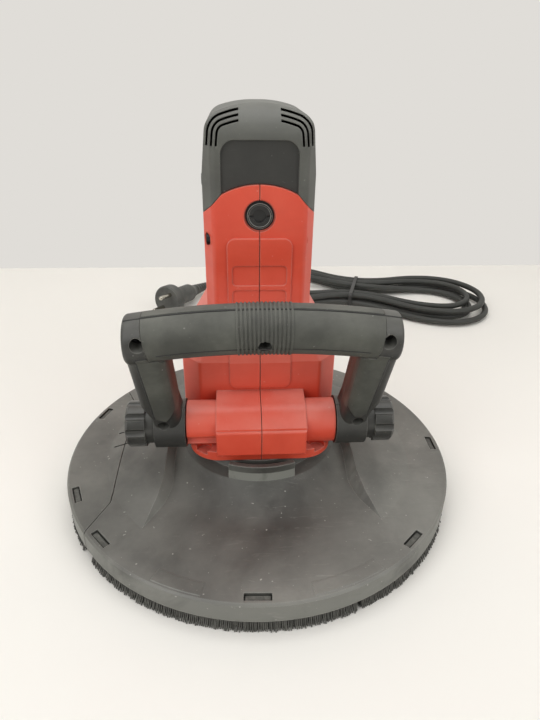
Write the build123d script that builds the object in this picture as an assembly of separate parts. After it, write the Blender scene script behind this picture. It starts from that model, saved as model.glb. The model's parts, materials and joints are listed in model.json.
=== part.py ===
from build123d import *
import math
import os

# Hand-held drywall sander: hood and pad, gear block, upright motor column, tilting D-handle, mains lead.
# Millimetres. +Z is up along the spindle, z = 0 is the sanding face, -Y is the handle side.

# Driving dimensions: pad and hood
pad_radius = 112.5
disc_thickness = 1.5
foam_thickness = 10.0
plate_thickness = 5.0
plate_step = 4.5            # the backing plate is this much smaller than the foam
pad_gap = 12.0              # air between pad and bristles
pad_headroom = 2.0          # air between pad and hood
strip_width = 4.3           # brush strip, across
strip_height = 4.5
strip_fit = 0.2
skirt_wall = 3.0
skirt_drop = 13.0           # hood rim down to the skirt's lower edge
hood_wall = 3.0
hood_rise = 22.5            # hood rim up to its seat under the gear block
shoulder_drop = 7.0         # hood seat down to the raised shoulders
shoulder_inner = 62.0
shoulder_outer = 106.0
valley_outer = 84.0         # where the front valley runs out into the flat rim
valley_top_drop = 9.0       # hood seat down to the valley's inner edge
valley_inner = 53.5
collar_radius = 44.0
collar_thickness = 4.0
lug_thickness = 3.2
lug_height = 11.0
lug_half_angle = 23.0
rim_round = 1.2
rim_fall = 1.5              # the flat rim falls this much from valley to edge
ridge_slope = 35.0          # draft of the valley's side walls
valley_plan = [(47, -12), (50, -20), (53, -44), (59, -60), (68.5, -76), (86, -104), (86, -125)]
collar_bore = 26.0
rim_pad_relief = 0.5
rim_pad_spans = [(-69.5, 9.5), (-112.5, 6.5)]   # middle and half angle
rim_pad_width = 8.0
clip_slots = [(-103.0, -89.0, 0.4), (-103.0, -98.5, 16.8)]   # x from, x to, y
clip_slot_width = 1.8
window_length = 15.0
window_width = 4.5
window_angles = [-1, 43, 88, 137, -139, -92.5, -46.5]
segment_window_angles = [159, -159]
segment_chord = 95.0        # spindle to the removable segment's straight edge
segment_half = 54.0         # half the length of that edge
segment_rim_half_angle = 36.5
segment_gap = 0.6

# Driving dimensions: bristles
bristle_count = 400
bristle_width = 1.2
bristle_depth = 1.9
bristle_floor_gap = 0.3
strip_arcs = {"front_left": (-142.5, -67), "front_right": (-67, 22), "right": (22, 67), "rear": (67, 142.5)}
segment_arc = (146.0, 214.0)
strip_end_gap = 0.3         # degrees
lug_clearance = 0.5
lug_sink = 1.0              # clip lugs end this far below the rim
bristle_row_offset = 0.9
bristle_root = 1.0          # how far each strand runs into the strip

# Driving dimensions: spindle and gears
spindle_radius = 7.5
spindle_nose_radius = 6.0
nose_length = 14.0
running_fit = 0.05
pad_bolt_radius = 3.0
bolt_head_radius = 6.5
bolt_head_height = 4.0
hub_radius = 20.0
hub_height = 16.5
pad_eye_radius = 9.0
dust_hole_radius = 6.0
dust_hole_circle = 75.0
dust_holes = 8
pressure_angle = 25.0
addendum = 0.8              # in modules
dedendum = 1.1              # in modules
tooth_thinning = 0.12
motor_pinion_teeth = 12
idler_gear_teeth = 36
motor_module = 1.0
idler_pinion_teeth = 12
spindle_gear_teeth = 36
spindle_module = 1.25
motor_offset = 29.0         # motor axis behind the spindle
spindle_gear_width = 8.0
idler_gear_width = 10.0
gear_gap = 2.0

# Driving dimensions: bearings, as outer radius, inner radius and width
spindle_lower_bearing = (17.5, spindle_radius, 11.0)
spindle_upper_bearing = (13.0, 5.0, 8.0)
idler_bearing = (9.5, 3.5, 6.0)
motor_lower_bearing = (11.0, 4.0, 7.0)
motor_upper_bearing = (9.5, 3.5, 6.0)
bearing_cover = 2.0         # metal left under a bearing seat

# Driving dimensions: red housing
flange_thickness = 6.6
flange_half_width = 46.0
flange_front = 43.0
flange_corner = 20.0
carrier_radius = 38.0
carrier_boss_radius = 24.0
carrier_height = 16.0
block_half_width = 49.5
block_flat_half = 38.0
block_front = 18.0
block_chamfer = 12.0
block_height = 57.0         # hood seat up to the block's shoulder
block_wall = 3.5
block_ledge = 1.5
flare_height = 28.0
column_half_width = 33.0
column_flat_half = 27.0
column_half_depth = 31.0
column_chamfer = 11.0
column_wall = 3.0
corner_round = 4.0
parting_gap = 0.4
pivot_drop = 20.0           # pivot axis above the hood seat
pivot_forward = 28.5        # pivot axis in front of the spindle
barrel_radius = 14.0
barrel_half_length = 46.4
nose_half_width = 28.0
nose_front = 46.5
nose_low = 23.5             # nose top edge at its front, above the hood seat
nose_relief = 0.6           # nose over the barrel's own surface
nose_brow = 48.0            # degrees, where the nose's slope leaves the barrel
nose_crest = 80.0           # degrees, where its top runs off level to the block
ear_spread = 36.0
ear_forward = 36.5
ear_radius = 5.0
ear_depth = 3.0
panel_half_width = 19.3
panel_relief = 1.3
panel_round = 5.0
panel_low = 39.0            # panel's lower edge above the hood seat
panel_drop = 13.0           # brush axis down to the panel's upper edge
inset_half_width = 16.5
inset_relief = 0.9
inset_height = 12.5
inset_pitch = 15.5
inset_count = 2
inset_drop = 16.5           # panel's upper edge down to the first inset
inset_round = 2.5
nose_step = 1.5             # ledge at the foot of the nose's slope
nose_round = 1.4
boss_screw_radius = 4.5
screw_setback = 7.0         # column screws behind its flat faces
screw_drop = 2.0            # column screws below the panel's upper edge
screw_inset = 4.0
carrier_fit = 0.1
shelf_vent_radius = 5.0
shelf_vent_circle = 19.0
stator_rib = 4.0

# Driving dimensions: motor
plate_gap = 4.0
gear_plate_thickness = 12.0
fan_gap = 6.0
fan_height = 10.0
fan_radius = 26.0
fan_blades = 11
stator_gap = 6.0
winding_gap = 9.0           # windings to commutator
stator_radius = 26.5
stator_yoke = 4.5
air_gap = 0.6
core_radius = 16.0
coil_overhang = 4.0
pole_half_angle = 50.0
shaft_radius = 4.0
core_slots = 12
commutator_bars = 24
winding_radius = 13.5
winding_overhang = 6.0
commutator_radius = 11.0
commutator_height = 18.0
brush_height = 144.0        # brush axis above the hood seat
brush_side = 6.0
brush_holder_radius = 8.5
brush_holder_bore = 5.0
brush_cap_radius = 7.6
brush_recess_radius = 9.2
brush_recess_depth = 1.6
brush_cap_thickness = 6.0
brush_spring_radius = 2.8
brush_spring_length = 5.0

# Driving dimensions: end cap
arch_margin = 8.2           # housing left between the brush recess and the cap's edge
arch_rise = 18.0            # cap's edge, from the sides up to the middle
arch_half_width = 22.0
arch_crown = 5.6            # bow of the arch's middle part
cap_height = 59.0           # side edge up to the top
cap_taper = 4.0             # each side leans in this much by the top
cap_wall = 3.0
cap_fit = 0.2
cap_edge_gap = 0.4
cap_top_round = 12.0
cap_crown = 70.0            # radius of the top, seen from the front
cap_front_round = 19.0
neck_wall = 2.5
neck_height = 21.0
shelf_thickness = 11.0
recess_half_width = 22.0
recess_depth = 1.6
recess_height = 23.4
recess_round = 8.0
vent_count = 3
vent_width = 1.2
vent_pitch = 2.6
vent_inset = 1.4
vent_inner_x = 11.5
vent_depth = 22.0
vent_low = 21.0             # vents end this far below the cap's top

# Driving dimensions: controls
switch_x = -12.0
dial_x = 13.0
control_drop = 28.3         # controls below the cap's top
rocker_width = 11.0
rocker_height = 15.0
rocker_sink = 6.0           # rocker pivot behind the cap's rear face
rocker_pin_radius = 1.5
rocker_tilt = 9.0
switch_depth = 17.0
bezel = 2.0
control_fit = 0.3
dial_radius = 9.0
dial_proud = 5.0
dial_stem_radius = 3.0
dial_ribs = 16
module_width = 24.0
module_height = 18.0
module_depth = 14.0

# Driving dimensions: handle
handle_lean = 20.0
grip_reach = 84.4           # pivot axis to grip axis, in the middle
grip_radius = 13.5
grip_bow = 5.2              # the bar's axis is this much lower at the sleeve's ends
grip_sleeve = 1.9
grip_half_length = 61.0
grip_ribs = 14
grip_rib_pitch = 2.1
grip_rib_width = 1.0
grip_rib_relief = 0.5
handle_depth = 23.0
leg_inner_low = 46.9
leg_outer_low = 66.0
leg_inner_high = 51.5
leg_outer_high = 73.0
leg_straight = 16.5         # the leg's outer edge is straight this far up, beside the knob
leg_waist = (50.0, 26.0)    # bend of the inner edge
leg_elbow = (71.0, 30.0)    # bend of the outer edge
leg_blend = 8.0
leg_round = 4.0
crown_round = 2.6
leg_inner_round = 7.0
crown_screw_x = 64.9
leg_screw_x = 59.5
leg_screw_reach = 13.0
handle_screw_seat = 4.0
handle_screw_grip = 8.0
core_web = 6.0              # solid middle of the bar round its screw
boss_radius = 15.5
handle_wall = 4.0
handle_gap = 0.3
stud_radius = 4.0
stud_head_radius = 7.0
stud_head = 4.0
stud_start = 29.0
stud_clearance = 0.3
knob_radius = 14.5
knob_length = 17.0
knob_gap = 0.6
knob_flutes = 9
knob_flute_radius = 2.6
knob_skirt = 5.0
knob_skirt_radius = 12.5

# Driving dimensions: dust port
port_start = 95.0           # where the port's axis meets the hood, behind the spindle
port_rise = 22.0
port_outer = 19.0
port_bore = 16.0
port_length = 52.0
port_socket = 20.0          # depth of the hose socket
port_relief = 1.0           # the duct behind the socket is this much wider
port_bead = 1.5
port_bead_length = 5.0
port_bead_setback = 14.0

# Driving dimensions: fasteners
screw_radius = 2.0
screw_head_radius = 3.4
screw_head = 2.4
screw_pilot = 12.0
hood_screw_circle = 32.0
clamp_ring_thickness = 2.0

# Driving dimensions: mains lead
cord_diameter = 7.0
gland_height = 50.0         # gland axis above the hood seat
gland_radius = 8.5
gland_tip_radius = 5.2
gland_length = 42.0
gland_ribs = 6
gland_flange = 11.0
gland_flange_thickness = 2.5
gland_seat = 3.0            # how far the gland sits in the housing wall
gland_groove = 1.4
lead_route = [
    (0, 24, 0),
    (-14, 44, -5),
    (-27, 64, -20),
    (-34, 86, -44),
    (-37, 110, -68),
    (-38, 134, -84),
    (-37.5, 156, -90.3),
]                           # from the gland's tip down to the floor
floor_route = [(-36.6, 283), (-19.3, 307.7)]
lead_last_run = 28.0        # straight run into the hank
tail_first_run = 18.0
tail_route = [(28.4, 413.7, 8.5), (2.7, 407, 4.2), (-21.7, 396.7, 3.6)]
tail_last_run = 25.0
corner_share = 0.45         # share of the shorter run that each bend may use

# Driving dimensions: hank of the lead, laid behind the tool
hank_waist = (136.0, 331.7)
hank_turn = -17.9
hank_runs = 5               # runs in each of the two layers
hank_step = 9.0             # between neighbouring strands on one side
hank_half = 30.0            # outermost strand at the tie
hank_layer = 8.0
lobe_right = (107.0, 28.0)  # reach from the tie, and how far the strands spread there
lobe_left = (80.0, 21.0)
tie_width = 4.0
tie_thickness = 1.2
tie_gap = 0.4

# Driving dimensions: plug
plug_entry = (-54.5, 356.7, 8.3)
plug_heading = 241.3        # in plan, from +X
plug_climb = 7.0
plug_relief = 32.0
plug_relief_radius = 4.6
plug_relief_ribs = 6
plug_relief_groove = 0.9
plug_neck_radius = 7.0
plug_grip = 44.0
plug_grip_radius = 10.5
plug_grip_taper = 9.0
plug_flange = 12.0
plug_flange_radius = 17.5
plug_edge = 1.5
pin_radius = 2.4
pin_length = 19.0
pin_spacing = 19.0
pin_roll = 60.0

BASE = (Align.CENTER, Align.CENTER, Align.MIN)

# Heights that follow from the driving dimensions
pad_top = disc_thickness + foam_thickness + plate_thickness
hood_under = pad_top + pad_headroom
rim_top = hood_under + hood_wall
seat_z = rim_top + hood_rise
skirt_bottom = rim_top - skirt_drop
strip_inner = pad_radius + pad_gap
strip_outer = strip_inner + strip_width
skirt_inner = strip_outer + strip_fit
hood_radius = skirt_inner + skirt_wall
pivot_y = -pivot_forward
pivot_z = seat_z + pivot_drop
brush_z = seat_z + brush_height
column_front = motor_offset - column_half_depth
column_rear = motor_offset + column_half_depth
block_top = seat_z + block_height
flare_top = block_top + flare_height
panel_top = brush_z - panel_drop
arch_top = brush_z + brush_recess_radius + arch_margin
cap_side_z = arch_top - arch_rise
cap_top = cap_side_z + cap_height
carrier_top = seat_z + carrier_height
spindle_gear_z = carrier_top + gear_gap
idler_gear_z = spindle_gear_z + spindle_gear_width + 2 * gear_gap
gear_plate_z = idler_gear_z + idler_gear_width + plate_gap
gear_plate_top = gear_plate_z + gear_plate_thickness
fan_z = gear_plate_top + fan_gap
stator_z = fan_z + fan_height + stator_gap
stator_top = brush_z - commutator_height / 2 - winding_gap - winding_overhang
shelf_top = cap_side_z + neck_height
shelf_z = shelf_top - shelf_thickness

# Gear centres: the idler stands where both centre distances meet
stage_one = motor_module * (motor_pinion_teeth + idler_gear_teeth) / 2
stage_two = spindle_module * (idler_pinion_teeth + spindle_gear_teeth) / 2
idler_y = (stage_two ** 2 - stage_one ** 2 + motor_offset ** 2) / (2 * motor_offset)
idler_x = math.sqrt(stage_two ** 2 - idler_y ** 2)
to_idler = math.degrees(math.atan2(idler_y, idler_x))
to_motor = math.degrees(math.atan2(motor_offset - idler_y, -idler_x))

nodes = {}


# Small shapes used all over
def disc(radius, z0, z1, x=0.0, y=0.0):
    return Pos(x, y, z0) * Cylinder(radius, z1 - z0, align=BASE)


def ring(outer, inner, z0, z1, x=0.0, y=0.0):
    return disc(outer, z0, z1, x, y) - disc(inner, z0 - 1, z1 + 1, x, y)


def slab(x0, x1, y0, y1, z0, z1):
    centre = Pos((x0 + x1) / 2, (y0 + y1) / 2, (z0 + z1) / 2)
    return centre * Box(x1 - x0, y1 - y0, z1 - z0)


def rod_x(radius, x0, x1, y, z):
    return Pos(x0, y, z) * Rot(0, 90, 0) * Cylinder(radius, x1 - x0, align=BASE)


def rod_y(radius, y0, y1, x, z):
    return Pos(x, y0, z) * Rot(-90, 0, 0) * Cylinder(radius, y1 - y0, align=BASE)


def prism(points, z0, z1):
    return Pos(0, 0, z0) * extrude(Polygon(*points, align=None), z1 - z0)


def turned(profile):
    return revolve(Plane.XZ * Polygon(*profile, align=None), Axis.Z)


def polar(radius, degrees):
    return (radius * math.cos(math.radians(degrees)), radius * math.sin(math.radians(degrees)))


def mirrored(shape):
    return mirror(shape, Plane.YZ)


def gear(teeth, module, z0, z1, turn):
    pitch = module * teeth / 2
    base = pitch * math.cos(math.radians(pressure_angle))
    tip = pitch + addendum * module
    root = pitch - dedendum * module
    involute_at_pitch = math.tan(math.radians(pressure_angle)) - math.radians(pressure_angle)
    half_pitch_angle = (math.pi * module / 2 - tooth_thinning) / (2 * pitch)
    start = max(base, root)
    flank = [start + (tip - start) * step / 4 for step in range(5)]
    points = []
    for tooth in range(teeth):
        middle = 2 * math.pi * tooth / teeth + math.radians(turn)
        side = []
        for radius in flank:
            angle_there = math.acos(min(1.0, base / radius))
            involute = math.tan(angle_there) - angle_there
            side.append((radius, half_pitch_angle + involute_at_pitch - involute))
        side.insert(0, (root, side[0][1]))
        for radius, half in side:
            points.append((radius * math.cos(middle - half), radius * math.sin(middle - half)))
        for radius, half in reversed(side):
            points.append((radius * math.cos(middle + half), radius * math.sin(middle + half)))
    return prism(points, z0, z1)


def bearing(size, z0, x=0.0, y=0.0):
    outer, inner, width = size
    groove_radius = (outer + inner) / 2
    groove_half = (outer - inner) / 6
    body = ring(outer, inner + running_fit, z0, z0 + width, x, y)
    top = z0 + width
    groove = ring(groove_radius + groove_half, groove_radius - groove_half, top - 0.8, top + 1, x, y)
    return body - groove


def cross_screw(length, head_radius=screw_head_radius):
    head = disc(head_radius, 0, screw_head)
    shank = disc(screw_radius, -length, 0)
    low = screw_head - 1.2
    cross = slab(-0.5, 0.5, -2, 2, low, screw_head) + slab(-2, 2, -0.5, 0.5, low, screw_head)
    return head + shank - cross


def wedge(middle, half_angle, z0, z1, reach=80.0):
    points = [(0, 0)]
    for step in range(5):
        points.append(polar(reach, middle - half_angle + half_angle * step / 2))
    return prism(points, z0, z1)


# Pad stack on the spindle's nose
hub_top = pad_top + hub_height
nose_bottom = hub_top - nose_length
plate_bottom = disc_thickness + foam_thickness
bolt_tip = nose_bottom + bolt_head_height + bolt_head_radius


def dust_bores(z0, z1):
    bores = []
    for index in range(dust_holes):
        x, y = polar(dust_hole_circle, 360 / dust_holes * (index + 0.5))
        bores.append(disc(dust_hole_radius, z0 - 1, z1 + 1, x, y))
    return bores


def foam_pad():
    foam = ring(pad_radius, pad_eye_radius, disc_thickness, plate_bottom)
    return foam - dust_bores(disc_thickness, plate_bottom)


def backing_plate():
    plate_radius = pad_radius - plate_step
    plate = disc(plate_radius, plate_bottom, pad_top) + disc(hub_radius, pad_top, hub_top)
    plate = chamfer(plate.edges().filter_by(GeomType.CIRCLE).sort_by(Axis.Z)[-1], 1.5)
    plate -= disc(spindle_nose_radius, nose_bottom, hub_top + 1)
    plate -= disc(pad_bolt_radius, plate_bottom - 1, nose_bottom + 1)
    return plate - dust_bores(plate_bottom, pad_top)


def pad_bolt():
    head_bottom = plate_bottom - bolt_head_height
    bolt = disc(bolt_head_radius, head_bottom, plate_bottom) + disc(pad_bolt_radius, plate_bottom, bolt_tip)
    hexagon = RegularPolygon(pad_bolt_radius, 6)
    return bolt - Pos(0, 0, head_bottom - 1) * extrude(hexagon, bolt_head_height * 0.6 + 1)


def spindle():
    top = gear_plate_z + spindle_upper_bearing[2]
    step_z = gear_plate_z - gear_gap
    shaft = disc(spindle_nose_radius, nose_bottom, hub_top) + disc(spindle_radius, hub_top, step_z)
    shaft += disc(spindle_upper_bearing[1], step_z, top)
    shaft = chamfer(shaft.edges().filter_by(GeomType.CIRCLE).sort_by(Axis.Z)[-1], 0.6)
    return shaft - disc(pad_bolt_radius, nose_bottom - 1, bolt_tip)


def spindle_gear():
    top = spindle_gear_z + spindle_gear_width
    wheel = gear(spindle_gear_teeth, spindle_module, spindle_gear_z, top, to_idler)
    return wheel - disc(spindle_radius, spindle_gear_z - 1, top + 1)


nodes["sanding_disc"] = disc(pad_radius, 0, disc_thickness) - dust_bores(0, disc_thickness)
nodes["foam_pad"] = foam_pad()
nodes["backing_plate"] = backing_plate()
nodes["pad_bolt"] = pad_bolt()
nodes["spindle"] = spindle()
nodes["spindle_gear"] = spindle_gear()

# Idler: a shaft with its cut pinion, and the wheel that the motor drives
idler_low = carrier_top - 1 - idler_bearing[2]
idler_high = gear_plate_z + idler_bearing[2]
idler_seat_radius = idler_bearing[1] + 1.5


def idler_shaft():
    turn = to_idler + 180 + 180 / idler_pinion_teeth
    shaft = disc(idler_bearing[1], idler_low, idler_high)
    shaft += disc(idler_seat_radius, carrier_top, gear_plate_z - 1)
    pinion_top = spindle_gear_z + spindle_gear_width + 1
    shaft += gear(idler_pinion_teeth, spindle_module, spindle_gear_z - 1, pinion_top, turn)
    return Pos(idler_x, idler_y, 0) * shaft


def idler_gear():
    wheel = gear(idler_gear_teeth, motor_module, idler_gear_z, idler_gear_z + idler_gear_width, to_motor)
    wheel -= disc(idler_seat_radius, idler_gear_z - 1, idler_gear_z + idler_gear_width + 1)
    return Pos(idler_x, idler_y, 0) * wheel


nodes["idler_shaft"] = idler_shaft()
nodes["idler_gear"] = idler_gear()

# Armature: shaft with its cut pinion, laminated core, windings, commutator and fan
armature_top = shelf_z + bearing_cover + motor_upper_bearing[2]


def on_motor(shape):
    return Pos(0, motor_offset, 0) * shape


def armature_shaft():
    turn = to_motor + 180 + 180 / motor_pinion_teeth
    step_z = shelf_z + bearing_cover
    pinion_end = idler_gear_z + idler_gear_width + 1
    shaft = disc(shaft_radius, idler_gear_z - 1, step_z) + disc(motor_upper_bearing[1], step_z, armature_top)
    shaft += gear(motor_pinion_teeth, motor_module, idler_gear_z - 1, pinion_end, turn)
    return on_motor(shaft)


def armature_core():
    core = ring(core_radius, shaft_radius, stator_z, stator_top)
    slots = []
    for index in range(core_slots):
        slot = slab(core_radius - 4, core_radius + 1, -1, 1, stator_z - 1, stator_top + 1)
        slots.append(Rot(0, 0, 360 / core_slots * index) * slot)
    return on_motor(core - slots)


def armature_windings():
    lower = ring(winding_radius, shaft_radius, stator_z - winding_overhang, stator_z)
    upper = ring(winding_radius, shaft_radius, stator_top, stator_top + winding_overhang)
    return on_motor(Compound([lower.solid(), upper.solid()]))


def commutator():
    low = brush_z - commutator_height / 2
    drum = ring(commutator_radius, shaft_radius, low, low + commutator_height)
    slits = []
    for index in range(commutator_bars):
        top = low + commutator_height + 1
        slit = slab(commutator_radius - 1.5, commutator_radius + 1, -0.3, 0.3, low + 1, top)
        slits.append(Rot(0, 0, 360 / commutator_bars * index) * slit)
    return on_motor(drum - slits)


def fan():
    hub_size = 2 * shaft_radius
    wheel = ring(fan_radius, shaft_radius, fan_z, fan_z + 1.5)
    wheel += ring(hub_size, shaft_radius, fan_z, fan_z + fan_height)
    blades = []
    for index in range(fan_blades):
        blade = slab(hub_size + 2, fan_radius - 0.5, -0.7, 0.7, fan_z + 1, fan_z + fan_height)
        blades.append(Rot(0, 0, 360 / fan_blades * index) * blade)
    return on_motor(wheel + blades)


nodes["armature_shaft"] = armature_shaft()
nodes["armature_core"] = armature_core()
nodes["armature_windings"] = armature_windings()
nodes["commutator"] = commutator()
nodes["fan"] = fan()

# Stator: yoke with two pole shoes, and the field coils between them
yoke_inner = stator_radius - stator_yoke


def stator_core():
    shoes = ring(yoke_inner + 0.5, core_radius + air_gap, stator_z, stator_top)
    right = shoes & wedge(0, pole_half_angle, stator_z, stator_top)
    left = shoes & wedge(180, pole_half_angle, stator_z, stator_top)
    return on_motor(ring(stator_radius, yoke_inner, stator_z, stator_top) + right + left)


def field_coils():
    low = stator_z - coil_overhang
    high = stator_top + coil_overhang
    band = ring(yoke_inner - 0.1, core_radius + 2 * air_gap, low, high)
    half_angle = 90 - pole_half_angle - 4
    front = band & wedge(-90, half_angle, low, high)
    rear = band & wedge(90, half_angle, low, high)
    return on_motor(Compound([front.solid(), rear.solid()]))


nodes["stator_core"] = stator_core()
nodes["field_coils"] = field_coils()

# Bearings
spindle_lower_z = seat_z + bearing_cover
motor_lower_z = gear_plate_top - motor_lower_bearing[2]
motor_upper_z = shelf_z + bearing_cover

nodes["spindle_bearing_lower"] = bearing(spindle_lower_bearing, spindle_lower_z)
nodes["spindle_bearing_upper"] = bearing(spindle_upper_bearing, gear_plate_z)
idler_pair = [bearing(idler_bearing, z, idler_x, idler_y).solid() for z in (idler_low, gear_plate_z)]
nodes["idler_bearings"] = Compound(idler_pair)
nodes["motor_bearing_lower"] = bearing(motor_lower_bearing, motor_lower_z, 0, motor_offset)
nodes["motor_bearing_upper"] = bearing(motor_upper_bearing, motor_upper_z, 0, motor_offset)

# Dust hood: a turned shell with a front valley, raised shoulders, clip windows and a front lug
valley_top = seat_z - valley_top_drop
shoulder_z = seat_z - shoulder_drop
collar_under = seat_z - collar_thickness
strip_middle = (strip_inner + strip_outer) / 2
shoulder_fall = (shoulder_z - rim_top) / (shoulder_outer - shoulder_inner)
port_z = shoulder_z - (port_start - shoulder_inner) * shoulder_fall
port_plane = Plane(
    origin=(0, port_start, port_z),
    x_dir=(1, 0, 0),
    z_dir=(0, math.cos(math.radians(port_rise)), math.sin(math.radians(port_rise))),
)


def valley_floor(rim, foot):
    return TangentArc(rim, foot, tangent=(-1, 0))


def hood_base():
    pocket_radius = collar_radius - hood_wall
    foot = (valley_inner, valley_top)
    rim = (valley_outer, rim_top + rim_fall)
    inner_foot = (valley_inner - 2, valley_top - hood_wall)
    inner_rim = (valley_outer, hood_under + rim_fall)
    edge = Polyline(
        rim,
        (hood_radius - rim_round, rim_top),
        (hood_radius, rim_top - rim_round),
        (hood_radius, skirt_bottom),
        (skirt_inner, skirt_bottom),
        (skirt_inner, hood_under),
        inner_rim,
    )
    collar = Polyline(
        inner_foot,
        (pocket_radius, valley_top - hood_wall),
        (pocket_radius, collar_under),
        (collar_bore, collar_under),
        (collar_bore, seat_z),
        (collar_radius, seat_z),
        (collar_radius + 2, valley_top + 2),
        foot,
    )
    outline = edge + valley_floor(inner_rim, inner_foot) + collar + valley_floor(rim, foot)
    return revolve(Plane.XZ * make_face(outline), Axis.Z)


def shoulder_outline(drop):
    return [
        (valley_inner - 4, hood_under + 1 - drop),
        (valley_inner - 4, shoulder_z - drop),
        (shoulder_inner, shoulder_z - drop),
        (shoulder_outer, rim_top + rim_fall / 2 - drop),
        (shoulder_outer, hood_under + 1 - drop),
    ]


def valley_cut(grow):
    right = [(x - grow, y) for x, y in reversed(valley_plan)]
    left = [(-x, y) for x, y in reversed(right)]
    face = Polygon(*(left + right), align=None)
    return Pos(0, 0, hood_under) * extrude(face, seat_z - hood_under, taper=-ridge_slope)


def hood_port_hole():
    return port_plane * Pos(0, 0, -port_outer) * Cylinder(port_bore + port_relief, 2 * port_outer, align=BASE)


def rim_windows(angles):
    cuts = []
    for angle in angles:
        cut = Pos(0, 0, rim_top) * Box(window_width, window_length, 4 * hood_wall)
        cuts.append(Rot(0, 0, angle) * Pos(strip_middle, 0, 0) * cut)
    return cuts


def whole_hood():
    shoulders = turned(shoulder_outline(0)) - valley_cut(0)
    hollow = turned(shoulder_outline(hood_wall)) - valley_cut(-hood_wall)
    hollow -= ring(valley_inner, collar_bore, 0, seat_z)
    hood = hood_base() + shoulders - hollow
    lug_outer = valley_inner
    lug = ring(lug_outer, lug_outer - lug_thickness, valley_top - 1, valley_top + lug_height)
    hood += lug & wedge(-90, lug_half_angle, valley_top - 1, valley_top + lug_height)
    for middle, half_angle in rim_pad_spans:
        low = rim_top - rim_pad_relief
        high = rim_top + rim_pad_relief
        pad = ring(hood_radius - 2 * rim_round, hood_radius - 2 * rim_round - rim_pad_width, low, high)
        hood += pad & wedge(middle, half_angle, low, high, 2 * hood_radius)
    for x0, x1, y in clip_slots:
        hood -= slab(x0, x1, y - clip_slot_width / 2, y + clip_slot_width / 2, hood_under, seat_z)
    hood -= rim_windows(window_angles + segment_window_angles)
    for x, y in hood_screw_places():
        hood -= disc(screw_radius, collar_under - 1, seat_z + 1, x, y)
    return hood - hood_port_hole()


def hood_screw_places():
    return [polar(hood_screw_circle, 45 + 90 * index) for index in range(4)]


def segment_region(shift):
    rim_x, rim_y = polar(hood_radius, 180 - segment_rim_half_angle)
    past_x = rim_x + (rim_x + segment_chord) * 0.6
    past_y = rim_y + (rim_y - segment_half) * 0.6
    far_x = -2 * hood_radius
    upper = [(-segment_chord, segment_half), (past_x, past_y), (far_x, past_y)]
    lower = [(x, -y) for x, y in reversed(upper)]
    return Pos(-shift, 0, 0) * prism(upper + lower, 0, seat_z)


def brush_strip(start, end, angles):
    middle = (start + end) / 2
    half_angle = (end - start) / 2 - strip_end_gap
    low = hood_under - strip_height
    sector = wedge(middle, half_angle, low, hood_under, 2 * hood_radius)
    strip = ring(strip_outer, strip_inner, low, hood_under) & sector
    pieces = []
    for angle in angles:
        if start < angle % 360 < end or start < angle < end:
            half_length = window_length / 2 - lug_clearance
            half_width = window_width / 2 - lug_clearance
            lug = slab(-half_width, half_width, -half_length, half_length, hood_under - 1, rim_top - lug_sink)
            pieces.append(Rot(0, 0, angle) * Pos(strip_middle, 0, 0) * lug)
    pitch = 360 / bristle_count
    strands = int((end - start - 2 * strip_end_gap) / pitch)
    for index in range(strands):
        angle = middle + (index - (strands - 1) / 2) * pitch
        row = bristle_row_offset if index % 2 else -bristle_row_offset
        half_depth = bristle_depth / 2
        half_width = bristle_width / 2
        strand = slab(-half_depth, half_depth, -half_width, half_width, bristle_floor_gap, low + bristle_root)
        pieces.append(Rot(0, 0, angle) * Pos(strip_middle + row, 0, 0) * strand)
    return strip + pieces


def dust_port():
    pipe = Pos(0, 0, -port_outer) * Cylinder(port_outer, port_length + port_outer, align=BASE)
    bead_z = port_length - port_bead_setback
    pipe += Pos(0, 0, bead_z) * Cylinder(port_outer + port_bead, port_bead_length, align=BASE)
    socket_z = port_length - port_socket
    pipe -= Pos(0, 0, -port_outer - 1) * Cylinder(port_bore + port_relief, socket_z + port_outer + 1, align=BASE)
    pipe -= Pos(0, 0, socket_z) * Cylinder(port_bore, port_socket + 1, align=BASE)
    under = turned([
        (0, -port_outer),
        (0, shoulder_z),
        (shoulder_inner, shoulder_z),
        (shoulder_outer, rim_top + rim_fall / 2),
        (hood_radius, rim_top + rim_fall / 2),
        (hood_radius, -port_outer),
    ])
    return port_plane * pipe - under


def clamp_ring():
    outer = carrier_radius
    clamp = ring(outer, collar_bore + strip_fit, collar_under - clamp_ring_thickness, collar_under)
    for x, y in hood_screw_places():
        clamp -= disc(screw_radius, seat_z - 3 * collar_thickness, seat_z, x, y)
    return clamp


def hood_screws():
    length = clamp_ring_thickness + collar_thickness + flange_thickness - 1
    under = collar_under - clamp_ring_thickness
    screws = [Pos(x, y, under) * Rot(180, 0, 0) * cross_screw(length) for x, y in hood_screw_places()]
    return Compound([screw.solid() for screw in screws])


hood = whole_hood()
nodes["shroud"] = hood - segment_region(0)
nodes["shroud_segment"] = hood & segment_region(segment_gap)
for place, (start, end) in strip_arcs.items():
    nodes["brush_strip_" + place] = brush_strip(start, end, window_angles)
nodes["brush_strip_segment"] = brush_strip(*segment_arc, segment_window_angles)
nodes["shroud_clamp"] = clamp_ring()
nodes["shroud_screws"] = hood_screws()
nodes["dust_port"] = dust_port()


# Spindle housing: carries the lower bearings and closes the gear block from below
def spindle_housing():
    body = disc(carrier_radius, seat_z, seat_z + flange_thickness)
    body += disc(carrier_boss_radius, seat_z, carrier_top)
    body += disc(idler_bearing[0] + block_wall, seat_z + flange_thickness, carrier_top, idler_x, idler_y)
    body -= disc(spindle_lower_bearing[0], spindle_lower_z, carrier_top + 1)
    body -= disc(spindle_radius + 1, seat_z - 1, carrier_top)
    body -= disc(idler_bearing[0], idler_low, carrier_top + 1, idler_x, idler_y)
    for x, y in hood_screw_places():
        body -= disc(screw_radius, seat_z - 1, seat_z + flange_thickness - 1, x, y)
    return body


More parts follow.
